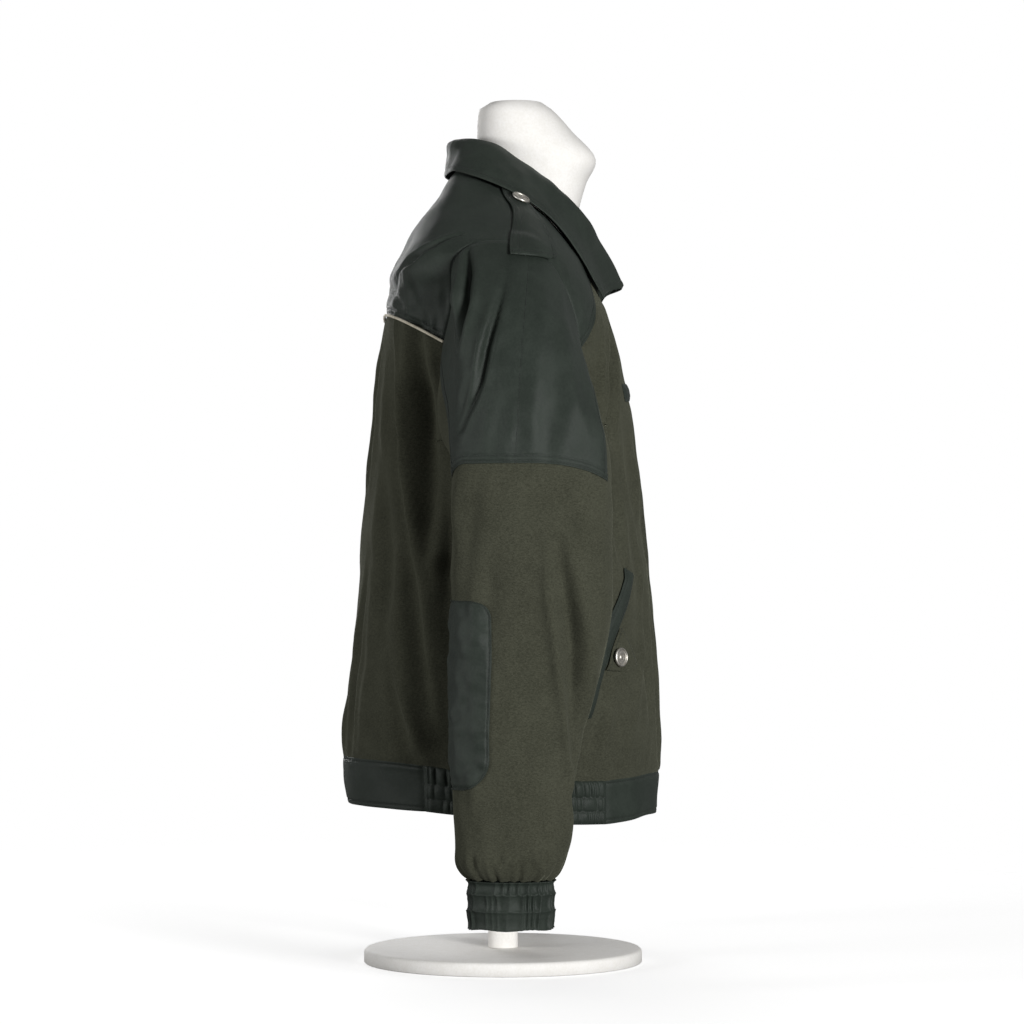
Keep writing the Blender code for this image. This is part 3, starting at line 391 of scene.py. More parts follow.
# Smaller folds in millimetres: points, width and depth (a ridge is below 0). "side" points are (y, z) seen
# from the right, "back" and "front" ones (x, z) seen face on, and "arm" ones (degrees, z) round the sleeve.
bodyFolds = {
    "side": (
        ((90, 672), (85.2, 600.5), (81, 532.4), (76.9, 450), 13.8, 18.5),
        ((111, 690), (104.8, 600.5), (101.7, 532.4), (92.4, 468.5), (81, 401.5), (76.9, 353),
         (66.6, 282.9), (52.2, 220), 6.8, -7),
        ((62, 640), (60, 560), (58, 480), (54, 400), 12, 9),
        ((99, 430), (90, 360), (79, 290), 12, 6),
        ((110, 323.8), (91.9, 268.5), (77.9, 228.4), 6.2, -6),
        ((119, 330), (106, 268), (94, 228), 8, 3),
        ((123.3, 538.2), (121.2, 435.1), (125.4, 352), 15, 6),
        ((124, 640), (125, 570), (120, 500), 12, -3),
        ((135.7, 413.6), (142, 300.1), (150.3, 237.8), 14, -3.5),
        ((58.2, 527.3), (56.1, 394.5), (48, 303.3), 10, 5),
        ((111, 731.9), (90.1, 747.3), (70.5, 759.6), (44, 771), 4, 6),
        ((113, 718), (90, 735), (68, 748), 8, -2.2),
        ((114, 729), (111, 708), (100, 692), 7, 3),
        ((96, 728), (90, 700), (80, 682), 6.5, 2.6),
        ((81, 690), (75.5, 668), 3.4, 2.6),
        ((69, 686), (64, 664), 3.4, 2.6),
        ((60, 720), (57, 690), (53, 668), 5, 2.2),
        ((100, 694), (97, 677), 3.5, 2),
        ((-112.3, 684.6), (-112.8, 629), (-111.8, 577.2), (-117.4, 548.6), 7.5, 14),
        ((-101.9, 699.1), (-101.9, 629), (-99.9, 572.4), 4.5, -5),
        ((-121.9, 581.2), (-128.1, 506.8), (-140.6, 461.1), (-144.8, 429.9), (-146.3, 399.8),
         (-143.3, 322.9), (-131.2, 237.1), 8, -5),
        ((-112.6, 510), (-122, 455.1), (-127, 425), 10, 7),
        ((-148, 350), (-154, 300), (-152, 240), 9, 4),
        ((-116, 300), (-106, 260), (-96, 222), 6, -3.6),
        ((-105, 320), (-96, 270), (-88, 220), 8, 4.6),
        ((-63, 736.9), (-66.5, 708.5), (-72.6, 673.9), (-80, 643.5), 4, 3),
        ((-85, 706), (-80, 685), (-81, 668), 5.5, -1.8),
        ((-95, 698), (-90, 678), 4, 2.2)),
    "back": (
        ((-16, 640), (-30, 560), (-28, 450), 12.8, 4.6),
        ((30, 600), (46, 500), (40, 380), 14.4, 5.3),
        ((-74, 660), (-60, 600), (-66, 520), 10.4, 4.6),
        ((92, 660), (76, 590), (84, 500), 11.2, 4.6),
        ((-102, 420), (-84, 330), (-90, 235), 11.2, 5.6),
        ((116, 400), (100, 320), (104, 235), 12, 5.3),
        ((-12, 350), (4, 290), (-2, 228), 10.4, 4.9),
        ((48, 330), (56, 226), 9.6, -4.6),
        ((-52, 300), (-46, 226), 8, -4.2),
        ((-160, 728), (-100, 716), (-40, 722), 8.8, 4.6),
        ((168, 735), (110, 712), (50, 716), 8, 4.2),
        ((26, 790), (70, 760), (120, 752), 8, 3.2),
        ((-20, 795), (-62, 768), 8, 2.8)),
    "front": (
        ((-46, 640), (-60, 540), (-54, 440), 11.2, 5.3),
        ((50, 650), (72, 560), (66, 450), 12, 5.6),
        ((108, 630), (120, 560), (112, 500), 10.4, 4.9),
        ((-92, 560), (-86, 470), 10.4, -4.6),
        ((-62, 380), (-74, 300), (-66, 225), 9.6, 5.3),
        ((64, 370), (80, 290), (74, 220), 10.4, 5.3),
        ((118, 340), (108, 260), (112, 220), 8.8, 4.6),
        ((-116, 300), (-108, 222), 9, -3),
        ((-34, 500), (-41, 410), 7.2, 3.2),
        ((36, 470), (43, 360), 7.2, 3.2))}
sleeveFolds = {
    "side": (
        ((-4.7, 726), (6.4, 681.6), (15.5, 648.3), (21.5, 617), (28.6, 594.9), (39.7, 567.7), 4, 8),
        ((8, 715), (18, 670), (26, 630), 7, -2.6),
        ((-49.6, 668), (-53.6, 597), (-45.6, 527), 9, 3.4),
        ((-35.6, 670), (-31.6, 596.5), (-27.6, 545), 8, -2.4),
        ((-60.5, 736.9), (-63.5, 708.5), (-69.6, 673.9), (-78.8, 643.5), 3.6, 3.4),
        ((-73.2, 650), (-83.3, 608), (-90.3, 566), 7, 3),
        ((35.5, 753), (34.3, 725.7), (37.5, 701.3), (43.1, 673.9), (46.2, 647.5), 4.5, 13),
        ((23, 748), (24, 715), (29, 680), 5.5, -2),
        ((30, 620), (39, 590), (45, 560), 5, 3),
        ((-5, 600), (6, 560), (8, 545), 7, 2.2),
        ((-35.8, 608.6), (-46.9, 534.3), 6, 1.8),
        ((25, 515), (33, 460), (40, 400), 10, 3.4),
        ((45, 520), (50, 460), 7, -3),
        ((-43, 448.4), (-47.1, 395.7), (-53.6, 340), (-59.5, 283.6), (-68.4, 208.4), 4.2, -6),
        ((-55.3, 456), (-65.2, 388), (-71.2, 348.1), (-73.1, 298.4), (-74.1, 238.7), 9.5, 14),
        ((-56, 520), (-66, 480), (-62, 440), 9, 3),
        ((-20, 340), (-27, 280), (-25, 220), 9, 2.6),
        ((-10, 480), (-14, 420), (-11, 370), 11, -2.4),
        ((15, 470), (14, 380), (9, 330), 9, 2.4),
        ((33, 235), (28, 210), (31, 185), 6, -2.4),
        ((3, 148), (1, 126), 3, 4),
        ((-29, 140), (-30, 124), 2.8, 4),
        ((-44, 146), (-43, 126), 2.8, 3.6),
        ((30, 142), (29, 124), 2.8, 3),
        ((-30, 210), (-36, 160), 8, 2.2),
        ((20, 190), (18, 150), 9, -2)),
    "arm": (
        ((-88, 570), (-88, 470), (-90, 380), (-92, 270), 34, 7.2),
        ((-110, 440), (-124, 350), (-112, 260), 10, 5.6),
        ((176, 470), (168, 380), (176, 290), 10, 5.2),
        ((140, 430), (126, 330), (138, 240), 10, 5.2),
        ((98, 480), (104, 430), (96, 380), 8, 4),
        ((-150, 330), (-140, 260), (-152, 190), 10, 5),
        ((-98, 250), (-88, 200), (-96, 160), 8, 4),
        ((160, 210), (170, 160), (162, 140), 8, 3.6))}


def bodyStrokes():  # every fold of the body as a 3-D line on its cloth
    found = []
    for place, lay in (("side", onSide), ("back", lambda x, z: onFace(x, z, 1)), ("front", onFace)):
        for *path, width, depth in bodyFolds[place]:
            path = np.array(path) / 1000
            found.append((lay(path[:, 0], path[:, 1]), width / 1000, depth / 1000))
    return found


strokesOfBody = bodyStrokes()


def bodyFolded(grid, cloth):  # the body's cloth with all its folds
    out = creased(grid)
    normal = bodyNormal(grid)
    near = grid * np.where(grid[..., :1] > 0, mirrored, 1.0)
    loop = armholePoint(np.arange(0, 360, 6))
    away = np.min(np.linalg.norm(near[..., None, :] - loop, axis=-1), axis=-1)
    right = np.zeros(grid.shape[:-1])
    left = np.zeros(grid.shape[:-1])
    both = np.zeros(grid.shape[:-1])
    for i, (path, width, depth) in enumerate(strokesOfBody):
        if i < len(bodyFolds["side"]):
            right += foldDepth(grid, path, width, depth)
            shift = np.array((0, 0.006 * math.sin(i * 2.1), 0.012 * math.sin(i * 1.3 + 1)))
            wider, deeper = 1 + 0.2 * math.sin(i * 3.7), 0.9 + 0.3 * math.sin(i)
            left += foldDepth(near, path + shift, width * wider, depth * deeper)
        else:
            both += foldDepth(grid, path, width, depth)
    share = smooth(grid[..., 0], -0.03, 0.03)
    push = right * (1 - share) + left * share + both
    soft, fine = (0.0011, 0.00035) if cloth == "fleece" else (0.0008, 0.00040)
    push = push + soft * ripple(grid, 0.085, 5) + fine * ripple(grid, 0.030, 6)
    push = push * smooth(away, 0.0, 0.022)
    return out - normal * push[..., None]


def addObject(name, data):
    thing = bpy.data.objects.new(name, data)
    bpy.context.scene.collection.objects.link(thing)
    return thing


def addMesh(name, verts, faces, uvs=None):
    mesh = bpy.data.meshes.new(name)
    mesh.from_pydata(verts.tolist(), [], faces)
    if uvs is not None:
        layer = mesh.uv_layers.new(name="cloth")
        corners = np.zeros(len(mesh.loops), dtype=np.int32)
        mesh.loops.foreach_get("vertex_index", corners)
        layer.data.foreach_set("uv", np.asarray(uvs, np.float32)[corners].ravel())
    mesh.validate()
    mesh.shade_smooth()
    return addObject(name, mesh)


def clothMesh(name, outer, inner, closed=False, bulge=0.35):  # a wall of cloth with rounded free edges
    rows, columns = outer.shape[:2]
    count = rows * columns
    index = np.arange(count).reshape(rows, columns)
    here, ahead = (index, np.roll(index, -1, axis=1)) if closed else (index[:, :-1], index[:, 1:])
    quads = np.stack([here[:-1], ahead[:-1], ahead[1:], here[1:]], -1).reshape(-1, 4)
    faces = [np.stack([quads, quads[:, [0, 3, 2, 1]] + count], 1).reshape(-1, 4)]
    across, along = arcs(outer, 1)[rows // 2], arcs(outer, 0)[:, columns // 2]
    uv = np.stack(np.broadcast_arrays(across[None, :], along[:, None]), -1).reshape(-1, 2)
    outwards = np.zeros_like(outer)
    outwards[0] += outer[0] - outer[1]
    outwards[-1] += outer[-1] - outer[-2]
    loops = (index[0], index[-1, ::-1])
    if not closed:
        outwards[:, 0] += outer[:, 0] - outer[:, 1]
        outwards[:, -1] += outer[:, -1] - outer[:, -2]
        loops = (np.concatenate([index[0], index[1:, -1], index[-1, -2::-1], index[-2:0:-1, 0]]),)
    outer, inner, outwards = (grid.reshape(-1, 3) for grid in (outer, inner, outwards))
    thick = np.linalg.norm(outer - inner, axis=-1, keepdims=True)
    verts, uvs, total = [outer, inner], [uv, uv], 2 * count
    for loop in loops:  # one round line along each free edge, midway through the wall
        verts.append((outer[loop] + inner[loop]) / 2 + unit(outwards[loop]) * thick[loop] * bulge)
        uvs.append(uv[loop])
        rim = total + np.arange(len(loop))
        after, rimAfter = np.roll(loop, -1), np.roll(rim, -1)
        faces.append(np.stack([np.stack([rim, rimAfter, after, loop], -1),
                               np.stack([loop + count, after + count, rimAfter, rim], -1)], 1).reshape(-1, 4))
        total += len(loop)
    return addMesh(name, np.concatenate(verts), np.concatenate(faces).tolist(), np.concatenate(uvs))


cuts = {}


def keep(piece, node, finish, slot, grid=None, held="draped", rests=("dress_form",), gather=1.0):
    piece.data.materials.append(finish)
    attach(piece, "root")
    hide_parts(node)
    if grid is not None:  # a sheet's cut: its longest lines laid flat, and the area of its cells
        wide, high = arcs(grid, 1)[:, -1].max() * gather, arcs(grid, 0)[-1].max()
        a, b, c, d = grid[:-1, :-1], grid[:-1, 1:], grid[1:, :-1], grid[1:, 1:]
        area = (np.linalg.norm(np.cross(b - a, d - a), axis=-1) / 2
                + np.linalg.norm(np.cross(d - a, c - a), axis=-1) / 2).sum() * gather
        area = round(float(min(area, wide * high)), 4)
        wide, high = round(float(wide), 3), round(float(high), 3)
        cuts[node] = (wide, high, area)


seams = {"pinch": 0.0009, "pinchWide": 0.0034, "groove": 0.0010, "grooveWide": 0.0009}


def relief(distances, stitchAt=(), edges="btlr"):  # the cloth dips towards its seams and under its stitches
    push = 0.0
    for edge in edges:
        push = push + seams["pinch"] * bell(distances[edge], seams["pinchWide"])
    for edge, where in stitchAt:
        push = push + seams["groove"] * bell(distances[edge] - where, seams["grooveWide"])
    return push


def inset(grid, edge, distance):  # the line on a grid at a distance inside one of its edges
    grid = grid if edge in "bt" else np.moveaxis(grid, 1, 0)
    grid = grid[::-1] if edge in "tr" else grid
    reach = arcs(grid, 0)
    line = []
    for c in range(grid.shape[1]):
        i = min(max(int(np.searchsorted(reach[:, c], distance)), 1), len(reach) - 1)
        k = (distance - reach[i - 1, c]) / (reach[i, c] - reach[i - 1, c])
        line.append(grid[i - 1, c] + (grid[i, c] - grid[i - 1, c]) * k)
    return np.array(line)


def bilinear(grid, rows, columns):
    r = np.clip(np.floor(rows).astype(int), 0, grid.shape[0] - 2)
    c = np.clip(np.floor(columns).astype(int), 0, grid.shape[1] - 2)
    v, u = (rows - r)[..., None], (columns - c)[..., None]
    return (grid[r, c] * (1 - v) * (1 - u) + grid[r, c + 1] * (1 - v) * u
            + grid[r + 1, c] * v * (1 - u) + grid[r + 1, c + 1] * v * u)


class Value:  # a socket that takes part in sums
    def __init__(self, shade, socket):
        self.shade, self.socket = shade, socket

    def sum(self, kind, first, second):
        return self.shade.node("ShaderNodeMath", {"operation": kind}, {0: first, 1: second})

    def __add__(self, other):
        return self.sum("ADD", self, other)

    def __sub__(self, other):
        return self.sum("SUBTRACT", self, other)

    def __rsub__(self, other):
        return self.sum("SUBTRACT", other, self)

    def __mul__(self, other):
        return self.sum("MULTIPLY", self, other)

    def __pow__(self, other):
        return self.sum("POWER", self, other)

    __radd__, __rmul__ = __add__, __mul__


class Finish:  # one material, built node by node
    def __init__(self, name, fixed):
        self.material = bpy.data.materials.new(name)
        self.material.use_nodes = True
        self.tree = self.material.node_tree
        self.shader = self.tree.nodes["Principled BSDF"]
        for socket, value in fixed.items():
            self.shader.inputs[socket].default_value = value

    def node(self, kind, settings, values, output=0):
        node = self.tree.nodes.new(kind)
        for name, value in settings.items():
            setattr(node, name, value)
        for socket, value in values.items():
            if isinstance(value, Value):
                self.tree.links.new(value.socket, node.inputs[socket])
            else:
                node.inputs[socket].default_value = value
        return Value(self, node.outputs[output])

    def noise(self, where, scale, detail=2.0, rough=0.5):
        return self.node("ShaderNodeTexNoise", {},
                         {"Vector": where, "Scale": scale, "Detail": detail, "Roughness": rough})

    def wave(self, value):
        return self.node("ShaderNodeMath", {"operation": "SINE"}, {0: value})

    def spread(self, value, low, high):  # a mask from 0.3 to 0.7 as a roughness between these two
        return self.node("ShaderNodeMapRange", {}, {0: value, 1: 0.3, 2: 0.7, 3: low, 4: high})

    def place(self):
        return self.node("ShaderNodeTexCoord", {}, {}, "Object")

    def cloth(self):  # the piece's own map, in metres along and across the cloth
        return self.node("ShaderNodeUVMap", {"uv_map": "cloth"}, {})

    def part(self, vector, axis):
        return self.node("ShaderNodeSeparateXYZ", {}, {0: vector}, axis)

    def ramp(self, value, low, high):
        settings = {"interpolation_type": "SMOOTHSTEP"}
        return self.node("ShaderNodeMapRange", settings, {0: value, 1: low, 2: high})

    def colour(self, factor, first, second):  # two colours mixed into the base colour
        node = self.tree.nodes.new("ShaderNodeMix")
        node.data_type = "RGBA"
        self.tree.links.new(factor.socket, node.inputs[0])
        for socket, value in ((node.inputs[6], first), (node.inputs[7], second)):
            if isinstance(value, Value):
                self.tree.links.new(value.socket, socket)
            else:
                socket.default_value = (*value, 1)
        self.feed("Base Color", Value(self, node.outputs[2]))

    def feed(self, socket, value):
        self.tree.links.new(value.socket, self.shader.inputs[socket])

    def bump(self, height, distance, strength=1.0):
        values = {"Height": height, "Distance": distance, "Strength": strength}
        self.feed("Normal", self.node("ShaderNodeBump", {}, values))


def makeFleece():
    look = {"dark": (0.0300, 0.0312, 0.0215), "light": (0.0650, 0.0672, 0.0475), "nap": 0.0008}
    finish = Finish("oliveFleece", {"Roughness": 1.0, "Specular IOR Level": 0.10, "Sheen Weight": 0.24,
                                    "Sheen Roughness": 0.38, "Sheen Tint": (0.62, 0.64, 0.48, 1)})
    where = finish.place()
    rows = finish.node("ShaderNodeVectorMath", {"operation": "MULTIPLY"}, {0: where, 1: (1.0, 1.0, 2.1)})
    curls = finish.noise(rows, 760, 3.0, 0.65)
    tufts = finish.noise(rows, 330, 2.0, 0.6)
    worn = finish.noise(where, 30, 3.0, 0.55)
    shade = finish.ramp(curls * 0.50 + tufts * 0.34 + worn * 0.16, 0.33, 0.67)
    finish.colour(shade, look["dark"], look["light"])
    finish.bump(curls * 0.65 + tufts * 0.55, look["nap"], 0.85)
    return finish.material


def makeWoven():
    look = {"dark": (0.0198, 0.0258, 0.0208), "light": (0.0280, 0.0358, 0.0290),
            "thread": 0.00062, "deep": 0.00009}
    finish = Finish("greenWeave", {"Roughness": 0.50, "Specular IOR Level": 0.20, "Sheen Weight": 0.05,
                                   "Sheen Roughness": 0.35, "Sheen Tint": (0.70, 0.80, 0.74, 1)})
    where, cloth = finish.place(), finish.cloth()
    across, along = finish.part(cloth, 0), finish.part(cloth, 1)
    turn = 2 * math.pi / look["thread"]
    ribs = finish.wave((across + along * 0.5) * turn)
    yarns = finish.wave(along * (turn * 0.8))
    worn = finish.noise(where, 34, 4.0, 0.6)
    fine = finish.noise(where, 420, 2.0, 0.6)
    shade = finish.ramp(worn * 0.6 + fine * 0.4 + ribs * 0.03, 0.34, 0.66)
    finish.colour(shade, look["dark"], look["light"])
    finish.feed("Roughness", finish.spread(worn, 0.44, 0.58))
    creases = finish.noise(where, 95, 3.0, 0.55)
    finish.bump(ribs * 0.30 + yarns * 0.18 + creases * 3.2 + fine * 0.8, look["deep"], 1.0)
    return finish.material


def makeCream():
    look = {"clean": (0.66, 0.61, 0.49), "soiled": (0.50, 0.45, 0.34), "twist": 0.0011, "deep": 0.00012}
    finish = Finish("creamPiping", {"Roughness": 0.62, "Sheen Weight": 0.15, "Specular IOR Level": 0.35})
    soiled = finish.ramp(finish.noise(finish.place(), 60, 3.0), 0.35, 0.7)
    finish.colour(soiled, look["clean"], look["soiled"])
    twist = finish.wave(finish.part(finish.cloth(), 0) * (2 * math.pi / look["twist"]))
    finish.bump(twist * 0.5, look["deep"], 0.8)
    return finish.material


def makeSilver():
    look = {"dull": (0.50, 0.475, 0.42), "bright": (0.68, 0.66, 0.61), "scuffs": 900, "deep": 0.00004}
    finish = Finish("silverMetal", {"Metallic": 1.0, "Roughness": 0.3, "Specular IOR Level": 0.5})
    where = finish.place()
    scuffs = finish.noise(where, look["scuffs"], 3.0, 0.7)
    finish.colour(finish.ramp(finish.noise(where, 180, 2.0), 0.3, 0.7), look["dull"], look["bright"])
    finish.feed("Roughness", finish.spread(scuffs, 0.36, 0.54))
    finish.bump(scuffs, look["deep"], 0.5)
    return finish.material


def makePlaster():
    look = {"grey": (0.83, 0.81, 0.77), "white": (0.90, 0.885, 0.86), "deep": 0.00035}
    finish = Finish("whiteForm", {"Roughness": 0.62, "Specular IOR Level": 0.3})
    where = finish.place()
    grain = finish.noise(where, 420, 4.0, 0.6)
    spots = finish.noise(where, 70, 3.0, 0.6)
    finish.colour(finish.ramp(grain * 0.6 + spots * 0.4, 0.3, 0.7), look["grey"], look["white"])
    finish.bump(grain + spots * 0.6, look["deep"], 0.6)
    return finish.material


def makeThread():
    look = {"dark": (0.006, 0.008, 0.007), "light": (0.013, 0.016, 0.014)}
    finish = Finish("greenThread", {"Roughness": 0.55, "Specular IOR Level": 0.4, "Sheen Weight": 0.1})
    finish.colour(finish.ramp(finish.noise(finish.place(), 500, 1.0), 0.3, 0.7), look["dark"], look["light"])
    return finish.material


fleece, woven, cream = makeFleece(), makeWoven(), makeCream()
silver, plaster, thread = makeSilver(), makePlaster(), makeThread()
print("finishes made")

stitchLines = {"right": [], "left": [], "body": []}


def joined(right):
    return np.concatenate([mirrorGrid(right)[:, :-1], right], axis=1)


def overTop(p):  # 1 on the top of the shoulder, where no seam shows between the yoke and the cap, else 0
    along = smooth(p[..., 1], -0.066, -0.050) * smooth(-p[..., 1], -0.040, -0.020)
    return along * smooth(p[..., 2], 0.700, 0.725)


def bodyPiece(node, grid, cloth, columns=8, stitchAt=(), extra=None, rows=8):
    yoke = {"rise": 0.0022, "riseWide": 0.024, "plain": (0.010, 0.020)}
    fine = ontoBody(fineGrid(grid, rows, columns))
    outer = bodyFolded(fine, cloth)
    normal = gridNormals(outer)
    distances = edgeDistances(outer)
    push = relief(distances, stitchAt)
    if "yoke" in node:
        arm = nearest(distances, "lr" if node == "back_yoke" else "l" if node.endswith("right") else "r")
        top = overTop(outer)
        near, far = yoke["plain"]
        push = push * (1 - top * smooth(-arm, -far, -near)) - yoke["rise"] * top * bell(arm, yoke["riseWide"])
    if extra is not None:
        push = push + extra(distances)
    outer = outer - normal * push[..., None]
    inner = outer - normal * (wall[cloth] * np.clip(1.0 - push / 0.004, 0.6, 1.0))[..., None]
    keep(clothMesh(node + "_cloth", outer, inner), node, fleece if cloth == "fleece" else woven, cloth, fine)
    side = "right" if node.endswith("right") else "left" if node.endswith("left") else "body"
    for edge, where in stitchAt:
        line = inset(outer, edge, where)
        if "yoke" in node and edge in "lr":
            line = line[overTop(line) < 0.3]
        stitchLines[side].append(line + 0.00012 * bodyNormal(line))


yokeTurn, shoulderTurn = 88, -30  # where the back yoke starts and ends on the armhole
underToYoke = np.linspace(180, yokeTurn, 7)
yokeOverTop = np.linspace(yokeTurn, shoulderTurn, 9)
underToFront = -180 + 15 * np.arange(7)
frontYokeArm = -90 + 15 * np.arange(5)
backTurns = np.array((180, 189.5, 199, 208, 218, 228, 238, 247, 258.5, 270))
frontTurns = np.array((-90, -79, -68, -57, -45, -33.5, -22, -10.5))
sideSeam = lineOf(hemPoint(-90, 1), armholePoint(180.0), 6)
shoulderSeam = lineOf(neckPoint(90.0), armholePoint(float(shoulderTurn)), 5)
frontYokeSeam = lineOf(armholePoint(-90.0), neckPoint(40.0), 5, bend=1.35)


def makeBack():
    side = np.concatenate([sideSeam[:-1], armholePoint(underToYoke)])
    low, high = hemPoint(180, 1), ontoBody(np.array((0, 0.126, 0.690)))
    k = (side[:, 2] - side[0, 2]) / (side[-1, 2] - side[0, 2])
    middle = onRing(np.full(k.shape, 180.0), low[2] + (high[2] - low[2]) * k)
    seam = lineOf(high, armholePoint(float(yokeTurn)), 9, bend=1.6)
    panel = joined(patchGrid(hemPoint(backTurns, 1), seam, middle, side))
    bodyPiece("back_panel", panel, "fleece")

    nape = neckPoint(180.0)
    spine = ontoBody(high + (nape - high) * np.linspace(0, 1, 9)[:, None])
    spine[0], spine[-1] = high, nape
    top = np.concatenate([neckPoint(180 - 22.5 * np.arange(5))[:-1], shoulderSeam])
    yoke = patchGrid(seam, top, spine, armholePoint(yokeOverTop), evenings=60)
    stitchAt = (("b", 0.0030), ("l", 0.0030), ("r", 0.0030), ("b", 0.0080))
    bodyPiece("back_yoke", joined(yoke), "woven", stitchAt=stitchAt)

    piping = {"radius": 0.0015, "sides": 10, "raised": 0.00155}
    half = sample(seam, np.linspace(0, 9, 91))
    whole = ontoBody(np.concatenate([half[::-1] * mirrored, half[1:]]))
    whole = creased(whole + bodyNormal(whole) * piping["raised"])
    piping = tubeMesh("back_piping_cord", whole[1:-1], piping["radius"], piping["sides"])
    keep(piping, "back_piping", cream, "piping")


def tubeMesh(name, path, radius, steps):
    ahead = unit(np.gradient(path, axis=0))
    side = unit(np.cross(ahead, bodyNormal(path)))[:, None]
    out = np.cross(side, ahead[:, None])
    angle = np.linspace(0, 2 * math.pi, steps, endpoint=False)[None, :, None]
    verts = (path[:, None] + (side * np.cos(angle) + out * np.sin(angle)) * radius).reshape(-1, 3)
    length = np.repeat(arcs(path[:, None], 0)[:, 0], steps)
    uvs = np.stack([length, np.tile(angle.ravel() * radius, len(path))], -1)
    ends = [tuple(range(steps)), tuple(range((len(path) - 1) * steps, len(path) * steps))[::-1]]
    faces = []
    for i in range(len(path) - 1):
        for k in range(steps):
            a, b = i * steps + k, i * steps + (k + 1) % steps
            faces.append((a, a + steps, b + steps, b))
    return addMesh(name, verts, faces + ends, uvs)


def makeFronts():
    side = np.concatenate([sideSeam[:-1], armholePoint(underToFront)])
    neck = neckPoint(np.array((40, 31, placketTurn)))
    top = np.concatenate([frontYokeSeam[:-1], neck])
    bottom = hemPoint(frontTurns, 1)
    k = (side[1:-1, 2] - side[0, 2]) / (side[-1, 2] - side[0, 2])
    inner = onFace(np.full(k.shape, -placketHalf), bottom[-1, 2] + (top[-1, 2] - bottom[-1, 2]) * k)
    edge = np.concatenate([bottom[-1:], inner, top[-1:]])
    panel = patchGrid(bottom, top, side, edge)
    yoke = patchGrid(frontYokeSeam, shoulderSeam[::-1], armholePoint(frontYokeArm),
                     neckPoint(np.array((40, 52.5, 65, 77.5, 90))))
    for word, left in sides:
        bodyPiece("front_" + word, turned(panel, left), "fleece")
        stitchAt = (("b", 0.0022), ("b", 0.0080), ("lr"[left], 0.0030))
        bodyPiece("front_yoke_" + word, turned(yoke, left), "woven", stitchAt=stitchAt)

    strip = [edge]
    for x, i in ((-placketHalf / 2, 1), (0.0, 0)):
        line = onFace(np.full(len(edge), x), edge[:, 2])
        line[0] = hemPoint(frontTurns[-1] / 2 * i, 1)
        line[-1] = neckPoint(placketTurn / 2 * i)
        strip.append(line)
    strip = np.stack(strip, axis=1)
    strip = np.concatenate([strip, mirrorGrid(strip[:, :-1])], axis=1)
    bodyPiece("front_fly", strip, "fleece", 5, (("l", 0.0042), ("r", 0.0042)),
              lambda d: -0.0016 * smooth(nearest(d, "lr"), 0.0, 0.006))  # the placket stands a little proud


def gathers(along, up, pitch, channels, deep, seed):  # how far elastic cloth stands out, in its sewn channels
    rng = np.random.default_rng(seed)
    puff, folds = 0.0, 0.0
    for low, high in zip(channels, channels[1:]):
        k = np.clip((up - low) / (high - low), 0, 1)
        inside = ((up >= low) & (up < high)) | ((high == channels[-1]) & (up >= high))
        arch = np.sqrt(np.clip(1 - (2 * k - 1) ** 2, 0, 1))
        slow = np.sin(along * rng.uniform(60, 90) + rng.uniform(0, 6))
        warp = pitch * 0.42 * (slow + np.sin(along * rng.uniform(150, 220)))
        phase = 2 * math.pi * (along + warp) / pitch + rng.uniform(0, 6.28)
        phase = phase + (k - 0.5) * rng.uniform(-0.8, 0.8)
        size = 0.75 + 0.35 * np.sin(along * rng.uniform(40, 70) + rng.uniform(0, 6))
        pleats = np.abs(np.sin(phase / 2)) ** 0.55 * 2 - 1.35
        puff = puff + np.where(inside, arch, 0.0)
        folds = folds + np.where(inside, pleats * size * (0.35 + 0.65 * arch), 0.0)
    return deep * (0.75 * puff + 0.62 * folds)


def makeHem():
    look = {"pitch": 0.0080, "deep": 0.0032, "rows": 42, "columns": 230, "channels": (0, 0.30, 0.62, 1.0),
            "gather": 1.35, "stitches": (("b", 0.0042), ("t", 0.0030))}

    def band(turns):
        low, high = hemPoint(turns, 0), hemPoint(turns, 1)
        return np.stack([low + (high - low) * k for k in (0, 0.34, 0.67, 1)])
    back = backTurns[backTurns <= 247]
    back = np.concatenate([360 - back[::-1][:-1], back])
    bodyPiece("hem_back", band(back), "woven", stitchAt=look["stitches"], rows=6)
    elastic = band(np.concatenate([backTurns[backTurns >= 247] - 360, frontTurns[1:4]]))
    front = band(np.concatenate([frontTurns[3:], (0,)]))
    fine = np.moveaxis(sample(elastic, np.linspace(0, len(elastic) - 1, look["rows"])), 1, 0)
    fine = ontoBody(np.moveaxis(sample(fine, np.linspace(0, len(fine) - 1, look["columns"])), 0, 1))
    for word, left in sides:
        bodyPiece("hem_front_" + word, turned(front, left), "woven", stitchAt=look["stitches"], rows=6)
        cloth = turned(fine, left)
        outer = bodyFolded(cloth, "woven")
        d = edgeDistances(outer)
        up = d["b"] / (d["b"] + d["t"])
        out = gathers(d["l"], up, look["pitch"], look["channels"], look["deep"], 3 + left)
        out = out * smooth(nearest(d, "lr"), 0, 0.008) - relief(d)
        normal = gridNormals(cloth)
        outer = outer + normal * out[..., None]
        piece = clothMesh("hem_elastic_" + word + "_cloth", outer, outer - normal * wall["woven"])
        keep(piece, "hem_elastic_" + word, woven, "woven", fine, held="gathered", gather=look["gather"])
        for k in look["channels"][1:-1]:
            row = int(round(k * (look["rows"] - 1)))
            stitchLines[word].append(outer[row] + normal[row] * 0.00015)


sleeveColumns = np.arange(-11, 13)


def ringPoint(degrees, z):
    x, y, halfX, halfY = sleeveRings.at(z)
    angle = np.radians(degrees)
    sharp = 2 / sleeve["power"]
    x, y = x - halfX * signedPower(np.cos(angle), sharp), y + halfY * signedPower(np.sin(angle), sharp)
    return points(x, y, z)


